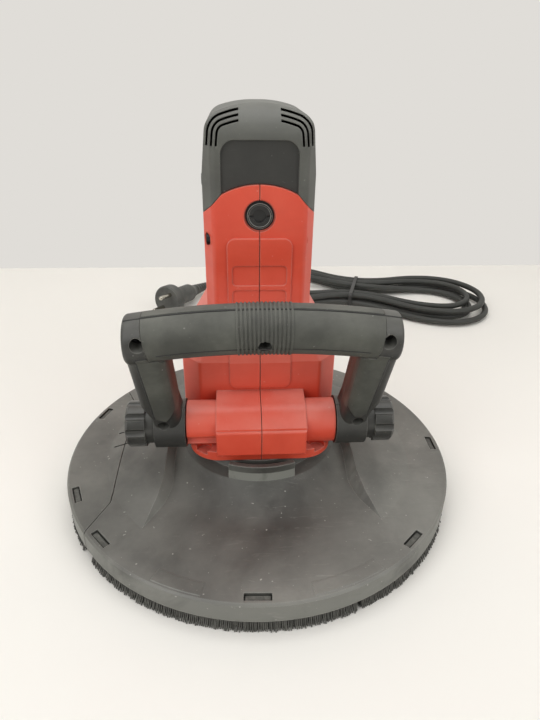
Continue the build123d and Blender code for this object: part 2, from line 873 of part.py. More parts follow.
nodes["spindle_housing"] = spindle_housing()


# Red housing: flange, gear block, flare and column, parted on the middle plane
def octagon(half_width, flat_half, y_front, y_rear, cut, inset):
    front = [(-flat_half, y_front), (flat_half, y_front), (half_width, y_front + cut)]
    rear = [(half_width, y_rear - cut), (flat_half, y_rear), (-flat_half, y_rear)]
    left = [(-half_width, y_rear - cut), (-half_width, y_front + cut)]
    face = Polygon(*(front + rear + left), align=None)
    if inset > 0:
        return face
    return fillet(face.vertices(), corner_round)


def block_face(inset):
    flat_half = block_flat_half - inset / 2
    front = inset - block_front
    return octagon(block_half_width - inset, flat_half, front, column_rear - inset, block_chamfer, inset)


def column_face(inset):
    flat_half = column_flat_half - inset / 2
    front = column_front + inset
    return octagon(column_half_width - inset, flat_half, front, column_rear - inset, column_chamfer, inset)


def column_prism(inset, z0, z1):
    return Pos(0, 0, z0) * extrude(column_face(inset), z1 - z0)


def block_prism(inset, z0, z1):
    return Pos(0, 0, z0) * extrude(block_face(inset), z1 - z0)


def flare(block_inset, column_inset):
    low = Pos(0, 0, block_top) * block_face(block_inset)
    high = Pos(0, 0, flare_top) * column_face(column_inset)
    return loft([low.face(), high.face()], ruled=True)


def trunk(z0, z1):
    return block_prism(0, z0, block_top) + flare(0, 0) + column_prism(0, flare_top, z1)


def below_arch(lift):
    side = 2 * block_half_width
    left = (-arch_half_width, arch_top - arch_crown + lift)
    right = (arch_half_width, arch_top - arch_crown + lift)
    sides = Polyline(
        left,
        (-column_half_width, cap_side_z + lift),
        (-side, cap_side_z + lift),
        (-side, 0),
        (side, 0),
        (side, cap_side_z + lift),
        (column_half_width, cap_side_z + lift),
        right,
    )
    outline = sides + ThreePointArc(right, (0, arch_top + lift), left)
    return extrude(Plane.XZ * make_face(outline), 2 * column_rear, both=True)


def flange():
    depth = flange_front + column_rear
    plate = RectangleRounded(2 * flange_half_width, depth, flange_corner)
    return Pos(0, (column_rear - flange_front) / 2, seat_z) * extrude(plate, flange_thickness)


def nose():
    low = seat_z + nose_low
    foot = seat_z + flange_thickness - 1
    saddle = barrel_radius + nose_relief
    brow = math.radians(nose_brow)
    crest = math.radians(nose_crest)
    crest_y = pivot_y - saddle * math.cos(crest)
    crest_z = pivot_z + saddle * math.sin(crest)
    points = [
        (crest_y, crest_z),
        (nose_step - block_front, crest_z + (nose_step - block_front - crest_y) / math.tan(crest)),
        (nose_step - block_front, foot),
        (-nose_front, foot),
        (-nose_front, low),
        (nose_step - nose_front, low),
        (nose_step - nose_front, low + nose_step),
        (pivot_y - saddle * math.cos(brow), pivot_z + saddle * math.sin(brow)),
    ]
    body = extrude(Plane.YZ * Polygon(*points, align=None), nose_half_width, both=True)
    front_edges = body.edges().filter_by(Axis.X).sort_by(Axis.Y)[:2]
    front_edges += body.edges().filter_by(Axis.Z).sort_by(Axis.Y)[:2]
    body = fillet(front_edges, nose_round)
    return body + rod_x(saddle, -nose_half_width, nose_half_width, pivot_y, pivot_z)


def panel():
    low = seat_z + panel_low
    outline = RectangleRounded(2 * panel_half_width, panel_top - low, panel_round)
    face = Plane.XZ * Pos(0, (low + panel_top) / 2) * outline
    raised = Pos(0, -panel_relief, 0) * trunk(seat_z + flange_thickness, cap_side_z)
    return raised & extrude(face, block_front - column_front, both=True)


def panel_insets():
    cuts = []
    front = column_front - panel_relief
    for index in range(inset_count):
        middle = panel_top - inset_drop - inset_height / 2 - index * inset_pitch
        face = Plane.XZ * Pos(0, middle) * RectangleRounded(2 * inset_half_width, inset_height, inset_round)
        cuts.append(Pos(0, front, 0) * extrude(face, inset_relief, both=True))
    return cuts


screw_places = [
    (column_front + screw_setback, panel_top - screw_drop, column_half_width - screw_inset),
    (column_rear - screw_setback, panel_top - screw_drop, column_half_width - screw_inset),
    (column_rear - 10, seat_z + pivot_drop - 2, block_half_width - 6),
    (-nose_front + 5, seat_z + nose_low / 2 + 3, nose_half_width - 4),
]


def cavity():
    floor = seat_z + flange_thickness
    narrow = cap_wall + cap_fit + neck_wall
    waist = brush_z - brush_holder_radius
    gear_tip = spindle_module * (spindle_gear_teeth / 2 + addendum)
    gear_top = spindle_gear_z + spindle_gear_width + 0.75 * gear_gap
    space = block_prism(block_wall + block_ledge, floor, gear_plate_z)
    space += block_prism(block_wall, gear_plate_z, block_top)
    space += flare(block_wall, column_wall)
    space += column_prism(column_wall, flare_top, waist) + column_prism(narrow, waist, shelf_z)
    space += disc(max(gear_tip + gear_gap, carrier_boss_radius + carrier_fit), floor, gear_top)
    space += disc(carrier_radius + carrier_fit, seat_z - 1, floor)
    return space


def stator_ribs():
    ribs = []
    for angle in (45, 135, 225, 315):
        half_rib = stator_rib / 2
        rib = slab(stator_radius - 1, column_half_width + 6, -half_rib, half_rib, stator_z, stator_top)
        ribs.append(on_motor(Rot(0, 0, angle) * rib))
    grown = column_prism(column_wall / 2, stator_z, stator_top)
    seats = [rib & grown for rib in ribs]
    return [seat - disc(stator_radius + carrier_fit, stator_z, stator_top, 0, motor_offset) for seat in seats]


def housing():
    body = flange() + trunk(seat_z + flange_thickness, arch_top) + nose() + panel()
    body += rod_x(barrel_radius, -barrel_half_length, barrel_half_length, pivot_y, pivot_z)
    body &= below_arch(0)
    body += column_prism(cap_wall + cap_fit, cap_side_z - 1, shelf_top)
    body -= cavity()
    body += stator_ribs()
    for y, z, reach in screw_places[:3]:
        body += rod_x(boss_screw_radius, -reach, reach, y, z)
    for y, z, reach in screw_places:
        body -= rod_x(screw_radius, -reach - 1, screw_pilot, y, z)
        body -= rod_x(screw_head_radius + cap_fit, -2 * block_half_width, -reach, y, z)
    body -= panel_insets()
    for side in (-1, 1):
        ear_top = seat_z + flange_thickness
        body -= disc(ear_radius, ear_top - ear_depth, ear_top, side * ear_spread, -ear_forward)
    body -= disc(motor_upper_bearing[0], motor_upper_z, shelf_top + 1, 0, motor_offset)
    body -= disc(shaft_radius + 1, shelf_z - 1, shelf_top, 0, motor_offset)
    for index in range(4):
        x, y = polar(shelf_vent_circle, 45 + 90 * index)
        body -= disc(shelf_vent_radius, shelf_z - 1, shelf_top + 1, x, y + motor_offset)
    for turn in (0, 180):
        body -= about_motor(turn, brush_bores())
    body -= studs()
    body -= gland_bore()
    for screw in cap_screw_pair():
        body -= screw
    return body


def cap_screw_pair():
    seat = column_half_width - screw_head / 2
    place = Pos(seat, motor_offset, shelf_top - shelf_thickness / 2)
    right = place * Rot(0, 90, 0) * cross_screw(screw_pilot)
    return [right.solid(), mirrored(right).solid()]


def about_motor(turn, shape):
    return Pos(0, motor_offset, 0) * Rot(0, 0, turn) * Pos(0, -motor_offset, 0) * shape


def brush_bores():
    seat = rod_y(brush_holder_radius, column_front - 1, brush_holder_end, 0, brush_z)
    outside = column_front - 1 - panel_relief
    return seat + rod_y(brush_recess_radius, outside, column_front + brush_recess_depth, 0, brush_z)


def half(body, side):
    reach = 4 * hood_radius
    keep = slab(parting_gap / 2, reach, -reach, reach, -reach, reach)
    return body & (keep if side > 0 else mirrored(keep))


def studs():
    length = leg_outer_low + knob_gap + knob_length - 4
    stud = rod_x(stud_radius, stud_start, length, pivot_y, pivot_z)
    stud += rod_x(stud_head_radius, stud_start, stud_start + stud_head, pivot_y, pivot_z)
    return Compound([stud.solid(), mirrored(stud).solid()])


gland_z = seat_z + gland_height


def gland_bore():
    return rod_y(gland_radius, column_rear - gland_seat, column_rear + 1, 0, gland_z)


brush_holder_end = motor_offset - commutator_radius - 2


# Carbon brushes, front and rear
def brush_cap():
    outer = column_front + cap_fit
    cap = rod_y(brush_cap_radius, outer, outer + brush_cap_thickness, 0, brush_z)
    cap = chamfer(cap.edges().sort_by(Axis.Y)[0], 0.8)
    cap -= rod_y(brush_cap_radius / 2, outer - 1, outer + brush_cap_thickness / 3, 0, brush_z)
    slot = slab(-brush_cap_radius, brush_cap_radius, outer - 1, outer + 1.2, brush_z - 0.7, brush_z + 0.7)
    return cap - slot


def brush_holder():
    start = column_front + brush_recess_depth
    cap_end = column_front + cap_fit + brush_cap_thickness
    holder = rod_y(brush_holder_radius, start, brush_holder_end, 0, brush_z)
    holder -= rod_y(brush_cap_radius, start - 1, cap_end, 0, brush_z)
    return holder - rod_y(brush_holder_bore, start, brush_holder_end + 1, 0, brush_z)


def carbon_brush():
    start = column_front + cap_fit + brush_cap_thickness + brush_spring_length
    end = motor_offset - commutator_radius - 0.3
    half_side = brush_side / 2
    return slab(-half_side, half_side, start, end, brush_z - half_side, brush_z + half_side)


def brush_spring():
    start = column_front + cap_fit + brush_cap_thickness
    outer = rod_y(brush_spring_radius, start, start + brush_spring_length, 0, brush_z)
    return outer - rod_y(brush_spring_radius - 1, start, start + brush_spring_length, 0, brush_z)


def front_and_rear(shape):
    return Compound([about_motor(0, shape).solid(), about_motor(180, shape).solid()])


def housing_screws():
    screws = []
    for y, z, reach in screw_places:
        screw = Pos(-reach, y, z) * Rot(0, -90, 0) * cross_screw(reach + screw_pilot)
        screws.append(screw.solid())
    return Compound(screws)


def gear_plate():
    plate = block_prism(block_wall + cap_fit, gear_plate_z, gear_plate_top)
    plate -= disc(spindle_upper_bearing[0], gear_plate_z - 1, gear_plate_z + spindle_upper_bearing[2])
    plate -= disc(idler_bearing[0], gear_plate_z - 1, gear_plate_z + idler_bearing[2], idler_x, idler_y)
    plate -= disc(motor_lower_bearing[0], motor_lower_z, gear_plate_top + 1, 0, motor_offset)
    pinion_tip = motor_module * (motor_pinion_teeth / 2 + addendum)
    return plate - disc(pinion_tip + 0.5, gear_plate_z - 1, gear_plate_top, 0, motor_offset)


red_body = housing()
nodes["housing_left"] = half(red_body, -1)
nodes["housing_right"] = half(red_body, 1)
nodes["housing_screws"] = housing_screws()
nodes["clamp_studs"] = studs()
nodes["gear_plate"] = gear_plate()
nodes["brush_caps"] = front_and_rear(brush_cap())
nodes["brush_holders"] = front_and_rear(brush_holder())
nodes["carbon_brushes"] = front_and_rear(carbon_brush())
nodes["brush_springs"] = front_and_rear(brush_spring())


# End cap: rounded over the top, arched over the column, vented at its front corners
control_z = cap_top - control_drop
control_wall = column_rear - cap_wall


def crowned_top(inset):
    wide = column_half_width - inset
    narrow = wide - cap_taper
    right = [(wide, cap_side_z - cap_height), (wide, shelf_top), (narrow, cap_top)]
    left = [(-x, z) for x, z in reversed(right)]
    face = Polygon(*(right + left), align=None) & Pos(0, cap_top - cap_crown) * Circle(cap_crown - inset)
    return fillet(face.vertices().sort_by(Axis.Y)[-2:], max(cap_top_round - inset, 1.0))


def rounded_side(inset):
    size = 2 * (column_half_depth - inset)
    rounding = max(cap_front_round - inset, 1.0)
    return Pos(motor_offset, cap_top - inset - cap_height) * RectangleRounded(size, 2 * cap_height, rounding)


def cap_form(inset, z0):
    front_view = extrude(Plane.XZ * crowned_top(inset), 2 * column_rear, both=True)
    side_view = extrude(Plane.YZ * rounded_side(inset), 2 * column_half_width, both=True)
    return column_prism(inset, z0, cap_top - inset) & front_view & side_view


def cap_recess():
    face = Pos(0, arch_top) * RectangleRounded(2 * recess_half_width, 2 * recess_height, recess_round)
    return Pos(0, column_front + recess_depth, 0) * extrude(Plane.XZ * face, 2 * recess_depth)


def cap_vents():
    low = cap_top - vent_low
    right = slab(vent_inner_x, column_half_width, column_front - 1, column_front + vent_depth, low, cap_top)
    corners = right + mirrored(right)
    cuts = []
    for index in range(vent_count):
        inset = vent_inset + index * vent_pitch
        line = crowned_top(inset) - crowned_top(inset + vent_width)
        cut = Pos(0, column_front + vent_depth, 0) * extrude(Plane.XZ * line, 2 * vent_depth)
        cuts.append(cut & corners)
    return cuts


def end_cap():
    cap = cap_form(0, cap_side_z) - below_arch(cap_edge_gap) - cap_form(cap_wall, cap_side_z - 1)
    cap -= cap_recess()
    for vent in cap_vents():
        cap -= vent
    half_width = rocker_width / 2 + control_fit
    half_height = rocker_height / 2 + control_fit
    cap -= Pos(switch_x, column_rear, control_z) * Box(2 * half_width, 4 * cap_wall, 2 * half_height)
    cap -= rod_y(dial_stem_radius + running_fit, control_wall - 1, column_rear + 1, dial_x, control_z)
    for screw in cap_screw_pair():
        cap -= screw
    return cap


nodes["end_cap"] = end_cap()
nodes["end_cap_screws"] = Compound(cap_screw_pair())

# Switch with its rocker, and the speed control with its dial
rocker_y = column_rear - rocker_sink


def rocker():
    half_height = rocker_height / 2
    depth = rocker_sink - 0.6
    points = [
        (1.0 - rocker_sink, 1.5 - half_height),
        (depth, 0.6 - half_height),
        (depth - 0.9, 0),
        (depth, half_height - 0.6),
        (1.0 - rocker_sink, half_height - 1.5),
    ]
    body = extrude(Plane.YZ * Polygon(*points, align=None), rocker_width / 2, both=True)
    pin_half = rocker_width / 2 + bezel - 0.5
    body += rod_x(rocker_pin_radius, -pin_half, pin_half, 0, 0)
    return Pos(switch_x, rocker_y, control_z) * Rot(rocker_tilt, 0, 0) * body


def switch_case():
    half_width = rocker_width / 2 + bezel
    half_height = rocker_height / 2 + bezel
    well_width = rocker_width / 2 + control_fit
    well_height = rocker_height / 2 + control_fit
    low_y = control_wall - switch_depth
    case = slab(-half_width, half_width, low_y, control_wall, -half_height, half_height)
    well_y = rocker_y - rocker_sink - 1
    case -= slab(-well_width, well_width, well_y, control_wall + 1, -well_height, well_height)
    pin_half = rocker_width / 2 + bezel - 0.5 + running_fit
    case -= rod_x(rocker_pin_radius + running_fit, -pin_half, pin_half, rocker_y, 0)
    return Pos(switch_x, 0, control_z) * case


def speed_dial():
    start = column_rear + control_fit
    end = column_rear + dial_proud
    wheel = rod_y(dial_radius, start, end, 0, 0)
    grooves = []
    for index in range(dial_ribs):
        groove = rod_y(0.7, start - 1, end + 1, dial_radius, 0)
        grooves.append(Rot(0, 360 / dial_ribs * index, 0) * groove)
    wheel = wheel - grooves
    wheel -= slab(-0.6, 0.6, end - 0.8, end + 1, dial_radius / 3, dial_radius)
    wheel += rod_y(dial_stem_radius, control_wall - module_depth / 2, start + 1, 0, 0)
    return Pos(dial_x, 0, control_z) * wheel


def speed_module():
    half_width = module_width / 2
    half_height = module_height / 2
    box = slab(-half_width, half_width, control_wall - module_depth, control_wall, -half_height, half_height)
    box -= rod_y(dial_stem_radius + running_fit, control_wall - module_depth / 2 - 1, control_wall + 1, 0, 0)
    return Pos(dial_x, 0, control_z) * box


nodes["switch_body"] = switch_case()
nodes["switch_rocker"] = rocker()
nodes["speed_module"] = speed_module()
nodes["speed_dial"] = speed_dial()


# D-handle: two halves, a soft sleeve on the bar, screws, and the clamp knobs
def handle_place(shape):
    return Pos(0, pivot_y, pivot_z) * Rot(handle_lean, 0, 0) * shape


bow_radius = (grip_half_length ** 2 + grip_bow ** 2) / (2 * grip_bow)
bow_middle = grip_reach - bow_radius


def bar_axis(x):
    return bow_middle + math.sqrt(bow_radius ** 2 - x ** 2)


def bowed_bar(radius, x0, x1):
    first = math.degrees(math.asin(x0 / bow_radius))
    last = math.degrees(math.asin(x1 / bow_radius))
    along = (math.cos(math.radians(first)), 0, -math.sin(math.radians(first)))
    place = Plane(origin=(x0, 0, bar_axis(x0)), x_dir=(0, -1, 0), z_dir=along)
    return revolve(place * Circle(radius), Axis((0, 0, bow_middle), (0, 1, 0)), last - first)


def handle_leg():
    top = bar_axis(leg_outer_high)
    points = [
        (leg_inner_low, 0),
        (leg_outer_low, 0),
        (leg_outer_low, leg_straight),
        leg_elbow,
        (leg_outer_high, top),
        (leg_inner_high, top),
        leg_waist,
    ]
    outline = Polygon(*points, align=None)
    bends = [v for v in outline.vertices() if leg_straight + 1 < v.Y < top - 1]
    outline = fillet(bends, leg_blend)
    leg = extrude(Plane.XZ * outline, handle_depth / 2, both=True)
    rims = [edge for edge in leg.edges() if abs(abs(edge.center().Y) - handle_depth / 2) < 0.01]
    sides = [edge for edge in rims if 1 < edge.center().Z < top - 1]
    middle = (leg_inner_low + leg_outer_low) / 2
    leg = fillet([edge for edge in sides if edge.center().X < middle], leg_inner_round)
    rims = [edge for edge in leg.edges() if abs(abs(edge.center().Y) - handle_depth / 2) < 0.01]
    sides = [edge for edge in rims if 1 < edge.center().Z < top - 1 and edge.center().X > middle]
    leg = fillet([edge for edge in sides if edge.center().X > leg_outer_low - 1], leg_round)
    leg -= bowed_bar(grip_radius + cap_fit, leg_inner_low, grip_half_length)
    crown = bowed_bar(grip_radius, grip_half_length, leg_outer_high + grip_radius)
    crown &= slab(0, leg_outer_high, -grip_radius, grip_radius, 0, grip_reach + grip_radius)
    crown = fillet(crown.edges().sort_by(Axis.X)[-1], crown_round)
    return leg + crown + rod_x(boss_radius, leg_inner_low, leg_outer_low, 0, 0)


def handle_screw_places():
    return [
        (-crown_screw_x, grip_reach),
        (0, grip_reach),
        (crown_screw_x, grip_reach),
        (-leg_screw_x, leg_screw_reach),
        (leg_screw_x, leg_screw_reach),
    ]


def handle_core():
    leg = handle_leg()
    core = grip_radius - grip_sleeve
    frame = leg + mirrored(leg) + bowed_bar(core, -grip_half_length, grip_half_length)
    hollow = bowed_bar(core - handle_wall, core_web, grip_half_length)
    frame = frame - hollow - mirrored(hollow)
    frame -= rod_x(stud_radius + stud_clearance, -leg_outer_low - 1, leg_outer_low + 1, 0, 0)
    for x, z in handle_screw_places():
        frame -= rod_y(screw_head_radius + cap_fit, -handle_depth, -handle_screw_seat, x, z)
        frame -= rod_y(screw_radius, -handle_screw_seat - 1, handle_screw_grip, x, z)
    return frame


def handle_half(frame, side):
    reach = 3 * grip_reach
    keep = slab(-reach, reach, handle_gap / 2, reach, -reach, reach)
    return handle_place(frame & (keep if side > 0 else mirror(keep, Plane.XZ)))


def handle_grip():
    reach = grip_half_length - cap_fit
    sleeve = bowed_bar(grip_radius, -reach, reach)
    for index in range(grip_ribs):
        start = (index - (grip_ribs - 1) / 2) * grip_rib_pitch - grip_rib_width / 2
        sleeve += bowed_bar(grip_radius + grip_rib_relief, start, start + grip_rib_width)
    sleeve -= bowed_bar(grip_radius - grip_sleeve + carrier_fit, -reach - 1, reach + 1)
    return handle_place(sleeve - rod_y(screw_head_radius + cap_fit, -handle_depth, 0, 0, grip_reach))


def handle_screws():
    screws = []
    for x, z in handle_screw_places():
        screw = Rot(90, 0, 0) * cross_screw(handle_screw_seat + handle_screw_grip)
        screws.append(handle_place(Pos(x, -handle_screw_seat, z) * screw).solid())
    return Compound(screws)


def clamp_knob():
    start = leg_outer_low + knob_gap
    end = start + knob_length
    body = rod_x(knob_radius, start + knob_skirt, end, 0, 0)
    body = chamfer(body.edges().filter_by(GeomType.CIRCLE).sort_by(Axis.X)[-1], 1.5)
    flutes = []
    flute_circle = knob_radius + knob_flute_radius / 3
    for index in range(knob_flutes):
        flute = rod_x(knob_flute_radius, start + knob_skirt - 1, end + 1, 0, flute_circle)
        flutes.append(Rot(360 / knob_flutes * index, 0, 0) * flute)
    body = body - flutes + rod_x(knob_skirt_radius, start, start + knob_skirt, 0, 0)
    body -= rod_x(stud_radius + running_fit, start - 1, end - 3, 0, 0)
    return Pos(0, pivot_y, pivot_z) * body


handle_frame = handle_core()
nodes["handle_front"] = handle_half(handle_frame, -1)
nodes["handle_rear"] = handle_half(handle_frame, 1)
nodes["handle_grip"] = handle_grip()
nodes["handle_screws"] = handle_screws()
nodes["knob_right"] = clamp_knob()
nodes["knob_left"] = mirrored(clamp_knob())


# Mains lead: gland, run down to the floor, tied hank, and tail with its plug
cord_radius = cord_diameter / 2
gland_tip = Vector(0, column_rear + gland_length, gland_z)
hank_low = cord_radius + tie_thickness + tie_gap


def ribbed(radii, low, pitch, groove):
    profile = []
    for index, radius in enumerate(radii):
        z = low + index * pitch
        profile += [(radius, z), (radius, z + 0.6 * pitch)]
        profile += [(radius - groove, z + 0.6 * pitch), (radius - groove, z + pitch)]
    return profile[:-2]


def taper(first, last, count):
    return [first + (last - first) * index / (count - 1) for index in range(count)]


def cord_gland():
    pitch = (gland_length - gland_flange_thickness) / (gland_ribs - 0.4)
    profile = [
        (0, -gland_seat),
        (gland_radius, -gland_seat),
        (gland_radius, 0),
        (gland_flange, 0),
        (gland_flange, gland_flange_thickness),
    ]
    radii = taper(gland_radius, gland_tip_radius, gland_ribs)
    profile += ribbed(radii, gland_flange_thickness, pitch, gland_groove)
    profile.append((0, gland_length))
    return Pos(0, column_rear, gland_z) * Rot(-90, 0, 0) * turned(profile)


def bend_radii(points):
    radii = []
    for before, corner, after in zip(points, points[1:], points[2:]):
        first = corner - before
        second = after - corner
        half_turn = math.radians(first.get_angle(second)) / 2
        radii.append(corner_share * min(first.length, second.length) / math.tan(half_turn))
    return radii


def tube(name, path):
    section = Plane(origin=path @ 0, z_dir=path % 0) * Circle(cord_radius)
    body = sweep(section, path=path)
    expected = math.pi * cord_radius ** 2 * path.length
    ratio = round(body.volume / expected, 4)
    print(name, "length", round(path.length, 1), "volume against section times length", ratio)
    return body


def routed(name, points):
    radii = bend_radii(points)
    print(name, "bend radii", [round(radius, 1) for radius in radii])
    return tube(name, FilletPolyline(*points, radius=radii))


def hank_run(run):
    side = -1 if run % 2 == 0 else 1
    near, far = (lobe_left, lobe_right) if side < 0 else (lobe_right, lobe_left)
    offset = hank_half - min(run, 2 * hank_runs - 1 - run) * hank_step / 2
    z = hank_low if run < hank_runs else hank_low + hank_layer
    climbs = run == hank_runs
    inner = offset - hank_step / 2 if climbs else offset
    start = Vector(side * near[0], side * (inner + near[1]), hank_low if climbs else z)
    waist = Vector(0, side * inner, z)
    end = Vector(-side * far[0], side * (offset + far[1]), z)
    return start, waist, end, Vector(-side, 0, 0)


def gentle_s(start, end, heading):
    first = TangentArc(start, (start + end) / 2, tangent=heading)
    return [first, TangentArc((start + end) / 2, end, tangent=first % 1)]


def hank_path():
    edges = []
    for run in range(2 * hank_runs):
        start, waist, end, heading = hank_run(run)
        if run == 0:
            edges.append(Line(start - heading * cord_diameter, start))
        else:
            edges.append(TangentArc(last_end, start, tangent=last_heading))
        edges += gentle_s(start, waist, heading) + gentle_s(waist, end, heading)
        last_end, last_heading = end, heading
    edges.append(Line(end, end + heading * cord_diameter))
    return Pos(*hank_waist, 0) * Rot(0, 0, hank_turn) * Wire([edge.edge() for edge in edges])


def least_self_gap(path):
    step = cord_radius
    count = int(path.length / step)
    points = [tuple(path @ (index / count)) for index in range(count + 1)]
    apart = int(4 * cord_diameter / step)
    distances = []
    for index, point in enumerate(points):
        distances += [math.dist(point, other) for other in points[index + apart:]]
    return min(distances) - cord_diameter


def cord_tie():
    half = hank_half + cord_radius + tie_gap
    height = hank_layer + cord_diameter + 2 * tie_gap
    loop = offset(RectangleRounded(2 * half, height, cord_radius), tie_thickness)
    loop -= RectangleRounded(2 * half, height, cord_radius)
    band = extrude(Plane.YZ * loop, tie_width / 2, both=True)
    return Pos(*hank_waist, hank_low + hank_layer / 2) * Rot(0, 0, hank_turn) * band


plug_direction = Vector(1, 0, 0).rotate(Axis.Y, -plug_climb).rotate(Axis.Z, plug_heading)
plug_plane = Plane(origin=plug_entry, x_dir=Vector(0, 0, 1).cross(plug_direction), z_dir=plug_direction)
plug_face = plug_relief + plug_grip + plug_flange


def plug():
    pitch = plug_relief / (plug_relief_ribs - 0.4)
    profile = [(0, 0)]
    radii = taper(plug_relief_radius, plug_neck_radius, plug_relief_ribs)
    profile += ribbed(radii, 0, pitch, plug_relief_groove)
    profile += [
        (plug_grip_radius, plug_relief + plug_grip_taper),
        (plug_grip_radius, plug_relief + plug_grip),
        (plug_flange_radius, plug_relief + plug_grip),
        (plug_flange_radius, plug_face - plug_edge),
        (plug_flange_radius - plug_edge, plug_face),
        (0, plug_face),
    ]
    return plug_plane * turned(profile)


def plug_pins():
    pin = Pos(pin_spacing / 2, 0, plug_face) * Cylinder(pin_radius, pin_length, align=BASE)
    pin = fillet(pin.edges().sort_by(Axis.Z)[-1], pin_radius / 2)
    pair = [Rot(0, 0, pin_roll + turn) * pin for turn in (0, 180)]
    return Compound([(plug_plane * one).solid() for one in pair])


coil = hank_path()
lead_points = [gland_tip] + [gland_tip + Vector(*step) for step in lead_route]
lead_points += [Vector(x, y, cord_radius) for x, y in floor_route]
lead_points += [coil @ 0 - (coil % 0) * lead_last_run, coil @ 0]
tail_points = [coil @ 1, coil @ 1 + (coil % 1) * tail_first_run] + [Vector(*point) for point in tail_route]
tail_points += [Vector(*plug_entry) - plug_direction * tail_last_run, Vector(*plug_entry)]
print("hank gap between strands", round(least_self_gap(coil), 2))
nodes["cord_gland"] = cord_gland()
nodes["cord_lead"] = routed("cord_lead", lead_points)
nodes["cord_hank"] = tube("cord_hank", coil)
nodes["cord_tail"] = routed("cord_tail", tail_points)
nodes["cord_tie"] = cord_tie()
nodes["plug_body"] = plug()
nodes["plug_pins"] = plug_pins()


os.makedirs("parts", exist_ok=True)
for name, shape in nodes.items():
    print(name, len(shape.solids()), round(shape.volume, 1), shape.is_valid)
    export_step(shape, f"parts/{name}.step")
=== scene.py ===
import json
import math
import random

import bpy
from mathutils import Matrix, Vector


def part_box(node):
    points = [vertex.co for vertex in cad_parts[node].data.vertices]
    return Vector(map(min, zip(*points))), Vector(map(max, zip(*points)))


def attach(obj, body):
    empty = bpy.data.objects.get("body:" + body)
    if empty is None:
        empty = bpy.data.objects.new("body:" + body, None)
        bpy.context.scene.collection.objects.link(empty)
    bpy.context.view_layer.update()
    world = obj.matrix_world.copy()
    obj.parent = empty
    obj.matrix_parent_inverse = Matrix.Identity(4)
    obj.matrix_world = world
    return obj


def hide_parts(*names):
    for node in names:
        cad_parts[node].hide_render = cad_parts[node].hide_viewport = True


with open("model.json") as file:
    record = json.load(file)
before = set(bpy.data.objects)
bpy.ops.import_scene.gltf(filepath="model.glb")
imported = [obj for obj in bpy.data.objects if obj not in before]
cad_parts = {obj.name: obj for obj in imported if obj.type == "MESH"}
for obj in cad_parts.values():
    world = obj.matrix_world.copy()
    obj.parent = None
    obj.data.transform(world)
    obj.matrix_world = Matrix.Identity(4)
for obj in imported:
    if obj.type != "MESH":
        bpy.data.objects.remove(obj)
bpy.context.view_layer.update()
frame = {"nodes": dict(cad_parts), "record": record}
nodes = frame["nodes"]
print("frame loaded:", len(nodes), "nodes")


# small helpers, used for every piece
def mm(*values):
    return Vector([value / 1000 for value in values])


def deselectAll():
    if bpy.context.mode != "OBJECT":
        bpy.ops.object.mode_set(mode="OBJECT")
    bpy.ops.object.select_all(action="DESELECT")


def pick(piece):
    deselectAll()
    piece.select_set(True)
    bpy.context.view_layer.objects.active = piece


def settle(piece):
    pick(piece)
    bpy.ops.object.transform_apply(location=True, rotation=True, scale=True)
    return piece


def applyModifiers(piece):
    pick(piece)
    for name in [modifier.name for modifier in piece.modifiers]:
        bpy.ops.object.modifier_apply(modifier=name)
    return piece


mergeGap = 0.00001   # metres: closer points are one


def spinRound(steps, angle, center, axis):   # without a window a spin turns clockwise, so the angles given are negative
    bpy.ops.object.mode_set(mode="EDIT")
    bpy.ops.mesh.select_all(action="SELECT")
    bpy.ops.mesh.spin(steps=steps, angle=angle, center=center, axis=axis)
    bpy.ops.mesh.select_all(action="SELECT")
    bpy.ops.mesh.remove_doubles(threshold=mergeGap)
    bpy.ops.mesh.normals_make_consistent(inside=False)
    bpy.ops.object.mode_set(mode="OBJECT")


def easeEdges(piece, widthMm, segments, fromAngle):
    ease = piece.modifiers.new("ease", "BEVEL")
    ease.width = widthMm / 1000
    ease.segments = segments
    ease.angle_limit = math.radians(fromAngle)


def toLinear(hexText):
    channels = [int(hexText[i:i + 2], 16) / 255 for i in (1, 3, 5)]
    return [c / 12.92 if c <= 0.04045 else ((c + 0.055) / 1.055) ** 2.4 for c in channels] + [1.0]


def addNode(tree, kind, inputs=None, **settings):
    item = tree.nodes.new(kind)
    for key, value in settings.items():
        setattr(item, key, value)
    for key, value in (inputs or {}).items():
        if isinstance(value, bpy.types.NodeSocket):
            tree.links.new(value, item.inputs[key])
        else:
            item.inputs[key].default_value = value
    return item


def newMaterial(name):
    material = bpy.data.materials.new(name)
    material.use_nodes = True
    tree = material.node_tree
    return material, tree, tree.nodes["Principled BSDF"]


# camera at the photograph's angle: 29 degrees down, a little from the left
cameraPlan = {
    "place": (-13.9, -311.9, 264.9), "pitch": 28.88, "yaw": -3.90, "roll": 0.93,
    "lens": 26.86, "sensor": 36.0, "nearest": 10.0,
}


def addCamera(plan):
    data = bpy.data.cameras.new("photoCamera")
    data.lens = plan["lens"]
    data.sensor_width = plan["sensor"]
    data.clip_start = plan["nearest"] / 1000
    camera = bpy.data.objects.new("photoCamera", data)
    bpy.context.scene.collection.objects.link(camera)
    camera.location = mm(*plan["place"])
    turns = ((plan["yaw"], "Z"), (90 - plan["pitch"], "X"), (plan["roll"], "Z"))
    yaw, pitch, roll = [Matrix.Rotation(math.radians(angle), 3, axis) for angle, axis in turns]
    camera.rotation_euler = (yaw @ pitch @ roll).to_euler()
    bpy.context.scene.camera = camera


addCamera(cameraPlan)
print("camera placed")

